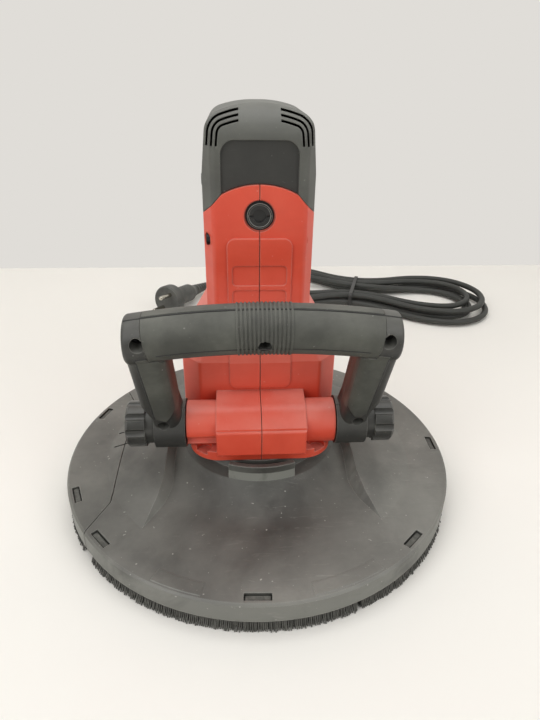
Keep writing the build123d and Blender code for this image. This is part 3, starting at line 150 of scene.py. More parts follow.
# mains lead: gland to floor, tied hank, tail to the plug; control points in millimetres
leadPlan = {
    "diameter": 7.0,
    "length": 3.69,
    "exit": (0, 102, 94),
    "down": [
        (0, 126, 94), (-14, 146, 89), (-27, 166, 74), (-34, 188, 50),
        (-37, 212, 26), (-38, 236, 10), (-37.5, 258, 3.7),
    ],
    "floor": [(-36.6, 283, 3.5), (-19.3, 307.7, 3.5), (10.9, 318.5, 5.1)],
    "hankStart": (37.5, 309.9, 5.1),
    "hankEnd": (68.9, 407.0, 13.1),
    "tail": [(51.8, 412.5, 13.1), (28.4, 413.7, 8.5), (2.7, 407, 4.2), (-21.7, 396.7, 3.6), (-42.6, 378.5, 5.25)],
    "plugEntry": (-54.5, 356.7, 8.3),
    "roundness": 4,   # points in a quarter of the sheath
    "smoothness": 6,
    "order": 3,
}
hankPlan = {
    "waist": (136.0, 331.7),
    "turn": -17.9,
    "half": 30.0,
    "step": 4.5,
    "runs": 10,
    "low": 5.1,
    "layer": 8.0,
    "right": (107.0, 28.0),   # reach from the tie, spread of the strands there
    "left": (80.0, 21.0),
    "fan": 4.0,   # degrees that the upper strands lie across the lower ones
    "shares": (0.75, 0.25),   # where a run's points stand between the tie and its bight
    "bend": 22.5,   # half the angle between a bight's points
    # each bight's own reach and spread
    "slack": [(0, 0), (-6, -4), (-10, -5), (0, 3), (-5, 4), (-8, -6), (-7, -6), (-3, 2), (-4, 0), (0, 0)],
}


def hankPoints(plan):
    turn = math.radians(plan["turn"])
    last = plan["runs"] - 1
    outer, inner = plan["shares"]
    bend = plan["bend"]
    points = []

    def put(u, v, z):
        lie = turn + (math.radians(plan["fan"]) if z > plan["low"] else 0)
        x = plan["waist"][0] + u * math.cos(lie) - v * math.sin(lie)
        y = plan["waist"][1] + u * math.sin(lie) + v * math.cos(lie)
        points.append((x, y, z))

    def offset(run):
        return plan["half"] - min(run, last - run) * plan["step"]

    for run in range(plan["runs"]):
        side = -1 if run % 2 == 0 else 1
        near, far = (plan["left"], plan["right"]) if side < 0 else (plan["right"], plan["left"])
        far = (far[0] + plan["slack"][run][0], far[1] + plan["slack"][run][1])
        near = (near[0] + plan["slack"][run - 1][0], near[1] + plan["slack"][run - 1][1]) if run else near
        upper = run > last / 2
        climbs = run == plan["runs"] // 2
        z = plan["low"] + (plan["layer"] if upper else 0)
        out = offset(run)
        entry = out - plan["step"] if climbs else out
        put(side * near[0] * outer, side * (entry + near[1]), plan["low"] if climbs else z)
        put(side * near[0] * inner, side * entry, z)
        put(-side * far[0] * inner, side * out, z)
        put(-side * far[0] * outer, side * (out + far[1]), z)
        if run == last:
            continue
        joins = offset(run + 1) - (plan["step"] if run + 1 == plan["runs"] // 2 else 0)
        radius = (out + joins) / 2 + far[1]
        middle = -side * (joins - out) / 2
        reach = radius / math.cos(math.radians(bend))
        for corner in (3 * bend, bend, -bend, -3 * bend):
            put(
                -side * (far[0] + reach * math.cos(math.radians(corner))),
                side * reach * math.sin(math.radians(corner)) + middle,
                z,
            )
    return points


def addLead(plan, hank):
    route = [plan["exit"]] + plan["down"] + plan["floor"] + [plan["hankStart"]]
    route += hankPoints(hank)
    route += [plan["hankEnd"]] + plan["tail"] + [plan["plugEntry"]]
    curve = bpy.data.curves.new("mainsLead", "CURVE")
    curve.dimensions = "3D"
    curve.bevel_depth = 1.0   # the points' own radius gives the sheath its thickness
    curve.bevel_resolution = plan["roundness"]
    curve.resolution_u = plan["smoothness"]
    curve.use_fill_caps = True
    spline = curve.splines.new("NURBS")
    spline.points.add(len(route) - 1)
    for point, place in zip(spline.points, route):
        point.co = (*mm(*place), 1)
        point.radius = plan["diameter"] / 2000
    spline.order_u = plan["order"]
    spline.use_endpoint_u = True
    lead = bpy.data.objects.new("mainsLead", curve)
    bpy.context.scene.collection.objects.link(lead)
    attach(lead, "housing")
    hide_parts("cord_lead", "cord_hank", "cord_tail")
    return lead


mainsLead = addLead(leadPlan, hankPlan)
print("mains lead laid")

# pale table and wall, and soft light mostly from above
stagePlan = {"table": "#F4F1EB", "wall": "#E0DDD8", "wallY": 455.0, "size": 6000.0, "rough": 0.6}


def addStage(plan):
    deselectAll()
    bpy.ops.mesh.primitive_plane_add(size=plan["size"] / 1000, location=(0, 0, 0))
    table = bpy.context.object
    table.name = "table"
    bpy.ops.mesh.primitive_plane_add(size=plan["size"] / 1000, location=mm(0, plan["wallY"], 0))
    wall = bpy.context.object
    wall.name = "wall"
    wall.rotation_euler = (math.radians(90), 0, 0)
    settle(wall)
    for piece, colour in ((table, plan["table"]), (wall, plan["wall"])):
        # matt wall paint: one even pale tone
        material, tree, shader = newMaterial(piece.name + "Paint")
        shader.inputs["Base Color"].default_value = toLinear(colour)
        shader.inputs["Roughness"].default_value = plan["rough"]
        if piece is wall:   # evenly pale to the eye, and open from behind, so that the back of the tool can be seen
            side = addNode(tree, "ShaderNodeNewGeometry").outputs["Backfacing"]
            clear = addNode(tree, "ShaderNodeBsdfTransparent").outputs[0]
            path = addNode(tree, "ShaderNodeLightPath").outputs
            seen = path["Is Camera Ray"]
            for ray in ("Is Glossy Ray", "Is Transmission Ray"):
                both = {0: seen, 1: path[ray]}
                seen = addNode(tree, "ShaderNodeMath", both, operation="ADD", use_clamp=True).outputs[0]
            even = addNode(tree, "ShaderNodeEmission", {"Color": toLinear(colour), "Strength": 1.0}).outputs[0]
            paint = addNode(tree, "ShaderNodeMixShader", {0: seen, 1: shader.outputs[0], 2: even}).outputs[0]
            mix = addNode(tree, "ShaderNodeMixShader", {0: side, 1: paint, 2: clear})
            tree.links.new(mix.outputs[0], tree.nodes["Material Output"].inputs["Surface"])
        piece.data.materials.append(material)


lampPlan = [
    # name, place, aim, size, watts
    ("ceilingPanel", (-100, 50, 1500), (0, 0, 50), 1500, 12.9),
    ("windowLeft", (-1000, -900, 800), (0, 0, 120), 800, 7.4),
    ("windowRight", (1000, -800, 800), (0, 0, 120), 800, 5.6),
]
worldPlan = {"colour": "#F2F1EE", "strength": 0.37}


def addLamps(plan, surround):
    for name, place, aim, size, watts in plan:
        data = bpy.data.lights.new(name, "AREA")
        data.size = size / 1000
        data.energy = watts
        lamp = bpy.data.objects.new(name, data)
        bpy.context.scene.collection.objects.link(lamp)
        lamp.location = mm(*place)
        lamp.rotation_euler = (mm(*aim) - mm(*place)).to_track_quat("-Z", "Y").to_euler()
    world = bpy.data.worlds.new("studio")
    bpy.context.scene.world = world
    world.use_nodes = True
    back = world.node_tree.nodes["Background"]
    back.inputs["Color"].default_value = toLinear(surround["colour"])
    back.inputs["Strength"].default_value = surround["strength"]


addStage(stagePlan)
addLamps(lampPlan, worldPlan)
print("stage and light set")

# materials: each is made once, then put on the nodes and pieces that have it
plasticPlan = {
    # moulded ABS, satin: even red with a soft highlight, chalky on what faces up from dust and a painted sheen, pale
    # along its edges from wear and a painted highlight
    "redAbs": {"colour": "#DD4C34", "worn": "#E2573F", "dirtAndShade": "#C0402A",
               "soil": 0.30, "dust": "#F0BCB0", "dustiness": 0.60,
               "scuff": 0.10, "speck": 0.25, "edge": "#E79A8A", "edgeWearAndHighlightShare": 0.6, "edgeMm": 1.0,
               "patchMm": 45.0, "grainMm": 1.4, "bumpMm": 0.02, "rough": (0.34, 0.48), "ior": 1.53},
    # glass-filled nylon, spark-eroded grain: flat dark grey, its crown paler from dust and a painted sheen
    "capNylon": {"inlayAndPaintedLight": ("#30302D", (-21.9, -1.3, 199.0), (21.9, 0.3, 228.9)),   # painted shade: the sunk front field under the cap's overhanging lip, painted darker
                 "colour": "#52534E", "worn": "#5C5D57", "dirtAndShade": "#3C3C38",
                 "soil": 0.35, "dust": "#A9A9A2", "dustiness": 0.45,
                 "scuff": 0.12, "speck": 0.25, "edge": "#8C8B84", "edgeWearAndHighlightShare": 0.5, "edgeMm": 0.8,
                 "patchMm": 30.0, "grainMm": 1.2, "bumpMm": 0.03, "rough": (0.42, 0.58), "ior": 1.53},
    # the handle's shells: the same nylon, rubbed lighter where hands go
    "handleNylon": {"leaning": ((0, -28.5, 64), 20.0),
                    "inlayAndPaintedLight": ("#4A4A44", (49.4, -1.0, 24.0), (53.0, 9.0, 67.0)),   # soft inner sides of the legs
                    "colour": "#2B2B29", "worn": "#3A3A36", "dirtAndShade": "#1F1F1D",
                    "soil": 0.4, "dust": "#A3A29A", "dustiness": 0.50,
                    "scuff": 0.14, "speck": 0.3, "edge": "#8F8E86", "edgeWearAndHighlightShare": 0.6, "edgeMm": 0.8,
                    "patchMm": 26.0, "grainMm": 1.2, "bumpMm": 0.03, "rough": (0.40, 0.55), "ior": 1.53},
    # clamp knobs: harder nylon with a shine on the flutes
    "knobNylon": {"colour": "#2B2B29", "worn": "#383835", "dirtAndShade": "#242422",
                  "soil": 0.3, "dust": "#A09F97", "dustiness": 0.35,
                  "scuff": 0.12, "speck": 0.2, "edge": "#96958D", "edgeWearAndHighlightShare": 0.75, "edgeMm": 0.6,
                  "patchMm": 14.0, "grainMm": 1.0, "bumpMm": 0.02, "rough": (0.28, 0.42), "ior": 1.53},
    # injection-moulded hood, smudged and scratched from sanding walls
    "hoodAbs": {"smearAndShade": ((0, -62, 25), 66.0, 24.0, 0.75),   # dark round the front lug: hand dirt, and a painted shade under the housing
                "paintedSideLight": ("#8C8D86", 0.5),   # painted light: the rim's wall and the ridges' slopes, steep faces painted paler where light falls on them
                "inlayAndPaintedLight": ("#8A8B84", (-21.5, -53.9, 35.2), (21.5, -45.8, 41.4)),   # painted light: the lug's front face, which faces up into the light, painted pale
                "colour": "#4A4945", "worn": "#605F59", "dirtAndShade": "#282724",
                "soil": 0.80, "dust": "#B7B5AD", "dustiness": 0.40,
                "scuff": 0.34, "speck": 0.7, "edge": "#A9A7A0", "edgeWearAndHighlightShare": 0.7, "edgeMm": 1.1,
                "patchMm": 55.0, "grainMm": 1.3, "bumpMm": 0.03, "rough": (0.38, 0.58), "ior": 1.52},
    # small black mouldings: near black, with a duller skin
    "blackAbs": {"colour": "#1D1D1C", "worn": "#2B2B2A", "dirtAndShade": "#121211",
                 "soil": 0.3, "dust": "#77756F", "dustiness": 0.12,
                 "scuff": 0.08, "speck": 0.1, "edge": "#5C5B57", "edgeWearAndHighlightShare": 0.4, "edgeMm": 0.4,
                 "patchMm": 14.0, "grainMm": 0.9, "bumpMm": 0.01, "rough": (0.30, 0.45), "ior": 1.53},
    # soft thermoplastic rubber over the handle: matt, paler along the crown from dust and a painted sheen on what faces
    # up
    "gripRubber": {"colour": "#42433D", "worn": "#54554E", "dirtAndShade": "#31312E",
                   "soil": 0.35, "dust": "#A6A59E", "dustiness": 0.36,
                   "scuff": 0.16, "speck": 0.35, "edge": "#8E8D86", "edgeWearAndHighlightShare": 0.4, "edgeMm": 0.5,
                   "patchMm": 22.0, "grainMm": 0.8, "bumpMm": 0.05, "rough": (0.62, 0.80), "ior": 1.50},
    # moulded PVC plug: dark grey, with a soft and slightly dusty skin
    "plugPvc": {"colour": "#464744", "worn": "#565651", "dirtAndShade": "#1C1C1B",
                "soil": 0.3, "dust": "#8B8A84", "dustiness": 0.25,
                "scuff": 0.10, "speck": 0.2, "edge": "#77766F", "edgeWearAndHighlightShare": 0.4, "edgeMm": 0.5,
                "patchMm": 12.0, "grainMm": 0.8, "bumpMm": 0.02, "rough": (0.45, 0.60), "ior": 1.52},
    # nylon bristles, seen as fine grey streaks
    "bristleNylon": {"colour": "#484843", "worn": "#63625C", "dirtAndShade": "#2F2F2C",
                     "soil": 0.4, "dust": "#8F8D86", "dustiness": 0.10,
                     "scuff": 0.16, "speck": 0.0, "edge": "#63625C", "edgeWearAndHighlightShare": 0.0, "edgeMm": 0.3,
                     "patchMm": 3.0, "grainMm": 0.8, "bumpMm": 0.02, "rough": (0.55, 0.70), "ior": 1.53},
    # pressed carbon, dull black
    "carbon": {"colour": "#151515", "worn": "#262626", "dirtAndShade": "#0E0E0E",
               "soil": 0.2, "dust": "#3A3A3A", "dustiness": 0.05,
               "scuff": 0.06, "speck": 0.0, "edge": "#3A3A3A", "edgeWearAndHighlightShare": 0.3, "edgeMm": 0.3,
               "patchMm": 4.0, "grainMm": 0.8, "bumpMm": 0.02, "rough": (0.60, 0.75), "ior": 1.60},
    # a brush cap's rim: nylon painted pale, dusty grey with a painted highlight where the rim catches the light
    "dustAndHighlightNylon": {"colour": "#74746F", "worn": "#8E8E88", "dirtAndShade": "#4A4A46",
                    "soil": 0.4, "dust": "#B0AFA8", "dustiness": 0.3,
                    "scuff": 0.20, "speck": 0.2, "edge": "#B5B4AD", "edgeWearAndHighlightShare": 0.5, "edgeMm": 0.3,
                    "patchMm": 4.0, "grainMm": 0.8, "bumpMm": 0.02, "rough": (0.40, 0.55), "ior": 1.53},
}
metalPlan = {
    # turned or ground steel: fine lines round the part
    "turnedSteel": {"colour": "#B9B9BA", "shade": "#8E8F90", "lineMm": 1.0, "rough": (0.22, 0.38), "metal": 1.0},
    # blackened steel of the screws: dark, with a low sheen
    "blackenedSteel": {"colour": "#4B4B4C", "shade": "#2E2E2F", "lineMm": 1.0, "rough": (0.35, 0.55), "metal": 1.0},
    # case-hardened gear steel: greyer, with a harder shine
    "hardenedSteel": {"colour": "#8C8C90", "shade": "#6B6B70", "lineMm": 1.2, "rough": (0.28, 0.42), "metal": 1.0},
    # stacked laminations: thin dark bands along the stack
    "lamination": {"colour": "#6A6A6C", "shade": "#3C3C3E", "lineMm": 1.0, "rough": (0.40, 0.60), "metal": 1.0},
    # enamelled winding wire, laid side by side: brown-red, in fine lines
    "windingWire": {"colour": "#B06A3A", "shade": "#6E3D1F", "lineMm": 1.0, "rough": (0.30, 0.45), "metal": 1.0},
    # pressure die casting: grey with a soft bloom
    "castAluminium": {"colour": "#B4B6B8", "shade": "#96989A", "lineMm": 6.0, "rough": (0.42, 0.58), "metal": 1.0},
    # nickel plate on the pins: pale, warm and bright
    "nickelPlate": {"colour": "#CFCBC0", "shade": "#A8A498", "lineMm": 1.2, "rough": (0.16, 0.28), "metal": 1.0},
}
noiseSpan = (0.3, 0.7)   # where most of a noise's values lie
plasticNoise = {"roughness": 0.62, "blot": 1.6, "cloud": 2.6, "speckMm": 2.6}   # blots and clouds in patches
plasticReach = {"cornerShadeMm": 12.0, "samples": 6, "bump": 0.5, "brinkMm": 0.001}
streakPlan = {"turn": (0.3, 0.2, 0.7), "scale": (45, 330, 210), "detail": 6.0, "roughness": 0.75, "distortion": 1.2}


def plasticCoats(plan):
    # coats in the order they lie: name, colour, ramps to multiply (source, from, to, value at to, value at from)
    # one dark colour for hand dirt and for the painted shade
    dirtAndShade, dust = plan["dirtAndShade"], plan["dust"]
    coats = [("worn", plan["worn"], [("patch", 0.38, 0.66, 1.0, 0.0)])]
    # dust and a painted sheen on what faces up
    dustAndSheenRamps = [("facing", 0.1, 0.95, 1.0, 0.0), ("cloud", 0.30, 0.72, plan["dustiness"], 0.0)]
    # painted light: steep faces painted paler
    if "paintedSideLight" in plan:
        colour, most = plan["paintedSideLight"]
        coats.append(("paintedSideLight", colour, [("facing", 0.80, 0.60, most, 0.0)]))
    # hand dirt and painted shade, darker near a point in front of the lug
    if "smearAndShade" in plan:
        far, near, most = plan["smearAndShade"][1:]
        coats.append(("smearAndShade", dirtAndShade, [("away", far / 1000, near / 1000, most, 0.0), ("patch", 0.30, 0.60, 1.0, 0.3)]))
        dustAndSheenRamps.append(("smearAndShade", 0.0, most, 0.2, 1.0))   # less dust and sheen where the dirt and painted shade lie
    # a boxed patch of another colour: a real soft inset on the handle's legs, painted shade on the cap's front field,
    # painted light on the hood's lug
    if "inlayAndPaintedLight" in plan:
        colour, low, high = plan["inlayAndPaintedLight"]
        brink = plasticReach["brinkMm"]
        walls = []
        for axis, bottom, top in zip("XYZ", low, high):
            walls.append((axis, bottom / 1000, (bottom + brink) / 1000, 1.0, 0.0))
            walls.append((axis, top / 1000, (top - brink) / 1000, 1.0, 0.0))
        coats.append(("inlayAndPaintedLight", colour, walls))
    return coats + [
        ("soil", dirtAndShade, [("blot", 0.45, 0.62, plan["soil"], 0.0)]),   # hand and floor dirt, a patch and a half wide
        ("cornerShade", dirtAndShade, [("hollow", 0.70, 0.25, 0.7, 0.0)]),   # painted shade: darker in corners and recesses, where shade falls
        ("dust", dust, dustAndSheenRamps),   # plaster dust and a painted sheen on what faces up, in clouds
        ("rubs", dust, [("streak", 0.58, 0.80, plan["scuff"], 0.0), ("cloud", 0.40, 0.60, 1.0, 0.0)]),
        ("specks", dust, [("speck", 0.74, 0.80, plan["speck"], 0.0)]),   # single grains, about a millimetre
        # wear and a painted highlight: paler along rounded edges, where fillets catch the light
        ("edgeWearAndHighlight", plan["edge"], [("turned", 0.97, 0.75, plan["edgeWearAndHighlightShare"], 0.0), ("patch", 0.25, 0.60, 1.0, 0.35)]),
    ]


def mouldedPlastic(name, plan):
    material, tree, shader = newMaterial(name)
    place = addNode(tree, "ShaderNodeTexCoord").outputs["Object"]
    flat = addNode(tree, "ShaderNodeNewGeometry").outputs["Normal"]
    samples = plasticReach["samples"]
    rounded = {"Radius": plan["edgeMm"] / 1000}   # moulded edges are rounded
    soft = addNode(tree, "ShaderNodeBevel", rounded, samples=samples).outputs[0]
    # reach of the painted shade in corners
    cornered = {"Distance": plasticReach["cornerShadeMm"] / 1000}
    corners = addNode(tree, "ShaderNodeAmbientOcclusion", cornered, samples=samples)
    given = {
        "facing": addNode(tree, "ShaderNodeSeparateXYZ", {0: flat}).outputs["Z"],
        "hollow": corners.outputs["AO"],
        "turned": addNode(tree, "ShaderNodeVectorMath", {0: soft, 1: flat}, operation="DOT_PRODUCT").outputs["Value"],
    }
    noises = {   # size in millimetres, detail, distortion
        "patch": (plan["patchMm"], 5.0, 0.0),
        "blot": (plan["patchMm"] * plasticNoise["blot"], 7.0, 0.8),
        "cloud": (plan["patchMm"] * plasticNoise["cloud"], 8.0, 0.0),
        "speck": (plasticNoise["speckMm"], 1.0, 0.0),
        "grain": (plan["grainMm"], 2.0, 0.0),
    }
    for key, (sizeMm, detail, distortion) in noises.items():
        settings = {
            "Vector": place, "Scale": 1000 / sizeMm, "Detail": detail,
            "Roughness": plasticNoise["roughness"], "Distortion": distortion,
        }
        given[key] = addNode(tree, "ShaderNodeTexNoise", settings).outputs["Fac"]
    # faint rubs, drawn a few millimetres long so that they show
    drawn = {"Vector": place, "Rotation": streakPlan["turn"], "Scale": streakPlan["scale"]}
    settings = {
        "Vector": addNode(tree, "ShaderNodeMapping", drawn).outputs[0], "Scale": 1.0, "Detail": streakPlan["detail"],
        "Roughness": streakPlan["roughness"], "Distortion": streakPlan["distortion"],
    }
    given["streak"] = addNode(tree, "ShaderNodeTexNoise", settings).outputs["Fac"]
    if "smearAndShade" in plan:
        middle = mm(*plan["smearAndShade"][0])
        away = addNode(tree, "ShaderNodeVectorMath", {0: place, 1: middle}, operation="DISTANCE")
        given["away"] = away.outputs["Value"]
    if "inlayAndPaintedLight" in plan:
        spot = place
        if "leaning" in plan:   # the handle's own plane, both sides alike
            pivot, lean = plan["leaning"]
            turn = Matrix.Rotation(math.radians(-lean), 3, "X")
            back = {"Vector": place, "Rotation": turn.to_euler(), "Location": turn @ -mm(*pivot)}
            upright = addNode(tree, "ShaderNodeMapping", back).outputs[0]
            spot = addNode(tree, "ShaderNodeVectorMath", {0: upright}, operation="ABSOLUTE").outputs[0]
        axes = addNode(tree, "ShaderNodeSeparateXYZ", {0: spot}).outputs
        given.update(zip("XYZ", axes))
    base = toLinear(plan["colour"])
    for coat, colour, ramps in plasticCoats(plan):
        share = 1.0
        for source, low, high, top, bottom in ramps:
            limits = {"Value": given[source], "From Min": low, "From Max": high, "To Min": bottom, "To Max": top}
            ramp = addNode(tree, "ShaderNodeMapRange", limits).outputs[0]
            share = addNode(tree, "ShaderNodeMath", {0: ramp, 1: share}, operation="MULTIPLY").outputs[0]
        given[coat] = share
        base = addNode(tree, "ShaderNodeMix", {0: share, 6: base, 7: toLinear(colour)}, data_type="RGBA").outputs[2]
    tree.links.new(base, shader.inputs["Base Color"])
    low, high = plan["rough"]
    calm, busy = noiseSpan
    limits = {"Value": given["cloud"], "From Min": calm, "From Max": busy, "To Min": low, "To Max": high}
    tree.links.new(addNode(tree, "ShaderNodeMapRange", limits).outputs[0], shader.inputs["Roughness"])
    relief = {
        "Height": given["grain"], "Strength": plasticReach["bump"], "Distance": plan["bumpMm"] / 1000, "Normal": soft,
    }
    tree.links.new(addNode(tree, "ShaderNodeBump", relief).outputs[0], shader.inputs["Normal"])
    shader.inputs["IOR"].default_value = plan["ior"]
    return material


metalLines = {"stretch": 60, "detail": 3.0, "bump": 0.25, "bumpMm": 0.03}   # lines run about 17 mm on


def workedMetal(name, plan):
    material, tree, shader = newMaterial(name)
    place = addNode(tree, "ShaderNodeTexCoord").outputs["Object"]
    along = metalLines["stretch"]
    drawn = addNode(tree, "ShaderNodeMapping", {"Vector": place, "Scale": (along, along, 1000 / plan["lineMm"])})
    settings = {"Vector": drawn.outputs[0], "Scale": 1.0, "Detail": metalLines["detail"]}
    lines = addNode(tree, "ShaderNodeTexNoise", settings).outputs["Fac"]
    tones = {0: lines, 6: toLinear(plan["shade"]), 7: toLinear(plan["colour"])}
    tree.links.new(addNode(tree, "ShaderNodeMix", tones, data_type="RGBA").outputs[2], shader.inputs["Base Color"])
    low, high = plan["rough"]
    calm, busy = noiseSpan
    limits = {"Value": lines, "From Min": calm, "From Max": busy, "To Min": low, "To Max": high}
    tree.links.new(addNode(tree, "ShaderNodeMapRange", limits).outputs[0], shader.inputs["Roughness"])
    relief = {"Height": lines, "Strength": metalLines["bump"], "Distance": metalLines["bumpMm"] / 1000}
    tree.links.new(addNode(tree, "ShaderNodeBump", relief).outputs[0], shader.inputs["Normal"])
    shader.inputs["Metallic"].default_value = plan["metal"]
    return material


# vulcanised sheath: near black, dull, with long faint smears of dust along the lead
sheathPlan = {
    "colour": "#252624", "dusty": "#43443F", "smearMm": 25.0, "detail": 6.0, "roughness": 0.65, "rough": (0.42, 0.66),
    "grainMm": 0.909, "grainDetail": 2.0, "bump": 0.4, "bumpMm": 0.03, "ior": 1.52,
}


def cordRubber(plan):
    material, tree, shader = newMaterial("cordRubber")
    place = addNode(tree, "ShaderNodeTexCoord").outputs["Object"]
    settings = {
        "Vector": place, "Scale": 1000 / plan["smearMm"], "Detail": plan["detail"], "Roughness": plan["roughness"],
    }
    smearAndShade = addNode(tree, "ShaderNodeTexNoise", settings).outputs["Fac"]
    tones = {0: smearAndShade, 6: toLinear(plan["colour"]), 7: toLinear(plan["dusty"])}
    tree.links.new(addNode(tree, "ShaderNodeMix", tones, data_type="RGBA").outputs[2], shader.inputs["Base Color"])
    settings = {"Vector": place, "Scale": 1000 / plan["grainMm"], "Detail": plan["grainDetail"]}
    grain = addNode(tree, "ShaderNodeTexNoise", settings).outputs["Fac"]
    relief = {"Height": grain, "Strength": plan["bump"], "Distance": plan["bumpMm"] / 1000}
    tree.links.new(addNode(tree, "ShaderNodeBump", relief).outputs[0], shader.inputs["Normal"])
    low, high = plan["rough"]
    limits = {"Value": smearAndShade, "To Min": low, "To Max": high}
    tree.links.new(addNode(tree, "ShaderNodeMapRange", limits).outputs[0], shader.inputs["Roughness"])
    shader.inputs["IOR"].default_value = plan["ior"]
    return material


cellPlan = {
    # closed-cell foam: dark, with open pores about a millimetre across on its cut edge
    "foamRubber": {"middle": "#1C1C1D", "rim": "#34343A", "cellMm": 1.111, "bump": 0.6, "bumpMm": 0.2, "rough": 0.85},
    # aluminium-oxide grit in resin on cloth: tan and glinting, about grit 80, drawn at 0.8 mm
    "sandPaper": {"middle": "#B99B6C", "rim": "#7D6239", "cellMm": 0.8, "bump": 0.8, "bumpMm": 0.2, "rough": 0.7},
}


def celledSurface(name, plan):
    material, tree, shader = newMaterial(name)
    place = addNode(tree, "ShaderNodeTexCoord").outputs["Object"]
    cells = addNode(tree, "ShaderNodeTexVoronoi", {"Vector": place, "Scale": 1000 / plan["cellMm"]}).outputs["Distance"]
    tones = {0: cells, 6: toLinear(plan["middle"]), 7: toLinear(plan["rim"])}
    tree.links.new(addNode(tree, "ShaderNodeMix", tones, data_type="RGBA").outputs[2], shader.inputs["Base Color"])
    relief = {"Height": cells, "Strength": plan["bump"], "Distance": plan["bumpMm"] / 1000}
    tree.links.new(addNode(tree, "ShaderNodeBump", relief).outputs[0], shader.inputs["Normal"])
    shader.inputs["Roughness"].default_value = plan["rough"]
    return material


finishes = {name: mouldedPlastic(name, plan) for name, plan in plasticPlan.items()}
finishes.update({name: workedMetal(name, plan) for name, plan in metalPlan.items()})
finishes.update({name: celledSurface(name, plan) for name, plan in cellPlan.items()})
finishes["cordRubber"] = cordRubber(sheathPlan)
slotFinish = {
    "red_plastic": "redAbs", "dark_plastic": "handleNylon", "hood_plastic": "hoodAbs", "black_plastic": "blackAbs",
    "grip_rubber": "gripRubber", "bristle": "bristleNylon", "cord_rubber": "cordRubber", "steel": "turnedSteel",
    "screw_steel": "blackenedSteel", "gear_steel": "hardenedSteel", "lamination": "lamination", "copper": "windingWire",
    "aluminium": "castAluminium", "foam": "foamRubber", "abrasive": "sandPaper", "carbon": "carbon",
    "plug_plastic": "plugPvc", "tie_wire": "blackAbs", "nickel": "nickelPlate",
}


def wear(piece, finish):
    piece.data.materials.clear()
    piece.data.materials.append(finishes[finish])


for part in frame["record"]["subparts"]:
    wear(nodes[part["node"]], slotFinish[part["material_slot"]])
wear(nodes["end_cap"], "capNylon")
wear(nodes["brush_holders"], "carbon")
for knob in ("knob_left", "knob_right"):
    wear(nodes[knob], "knobNylon")
wear(mainsLead, "cordRubber")
print("materials made:", len(finishes))

# bristle skirt: three rows of fine strands in a plastic strip, with clip lugs in the hood's windows
skirtPlan = {
    "middle": 126.65, "halfWidth": 2.15, "low": 14.0, "top": 18.5, "endGap": 0.3,
    "stepAngle": 1.5, "fewestSteps": 12,
    "rows": (-1.4, 0.0, 1.4), "pitch": 0.5, "stagger": 0.33, "strand": (0.42, 0.36), "taper": 0.7, "seed": 11,
    "tip": (0.3, 0.7), "lean": (3.4, 4.5), "sway": 0.3,   # pressed outwards by the tool's weight
    "root": 0.6, "knee": (0.5, 0.35),   # height and lean of the strand's knee, as shares
    "lug": (14.0, 3.5, 17.5, 20.5), "lugEase": (0.5, 2, 30),
    "strips": {
        "brush_strip_front_left": (-142.5, -67, "housing", (-139, -92.5)),
        "brush_strip_front_right": (-67, 22, "housing", (-46.5, -1)),
        "brush_strip_right": (22, 67, "housing", (43,)),
        "brush_strip_rear": (67, 142.5, "housing", (88, 137)),
        "brush_strip_segment": (146, 214, "segment", (159, 201)),
    },
}


def addStrip(name, start, end, body, lugs, plan):
    first = math.radians(start + plan["endGap"])
    sweep = math.radians(end - start - 2 * plan["endGap"])
    deselectAll()
    # profile of the strip at its first end, then spun round the spindle
    bpy.ops.mesh.primitive_plane_add(size=1, location=(0, 0, 0))
    strip = bpy.context.object
    strip.name = name.replace("brush_strip", "bristles")
    strip.scale = (2 * plan["halfWidth"] / 1000, (plan["top"] - plan["low"]) / 1000, 1)
    strip.rotation_euler = (math.radians(90), 0, first)
    height = (plan["top"] + plan["low"]) / 2
    strip.location = mm(plan["middle"] * math.cos(first), plan["middle"] * math.sin(first), height)
    settle(strip)
    steps = max(plan["fewestSteps"], int((end - start) / plan["stepAngle"]))
    spinRound(steps, -sweep, (0, 0, 0), (0, 0, 1))
    parts = [strip]
    for angle in lugs:
        length, width, low, high = plan["lug"]
        turn = math.radians(angle)
        bpy.ops.mesh.primitive_cube_add(size=1)
        lug = bpy.context.object
        lug.scale = (width / 1000, length / 1000, (high - low) / 1000)
        lug.rotation_euler = (0, 0, turn)
        lug.location = mm(plan["middle"] * math.cos(turn), plan["middle"] * math.sin(turn), (low + high) / 2)
        settle(lug)
        easeEdges(lug, *plan["lugEase"])
        applyModifiers(lug)
        parts.append(lug)
    parts.append(strandMesh(name, start, end, plan))
    deselectAll()
    for part in parts:
        part.select_set(True)
    bpy.context.view_layer.objects.active = strip
    bpy.ops.object.join()
    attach(strip, body)
    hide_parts(name)
    return strip


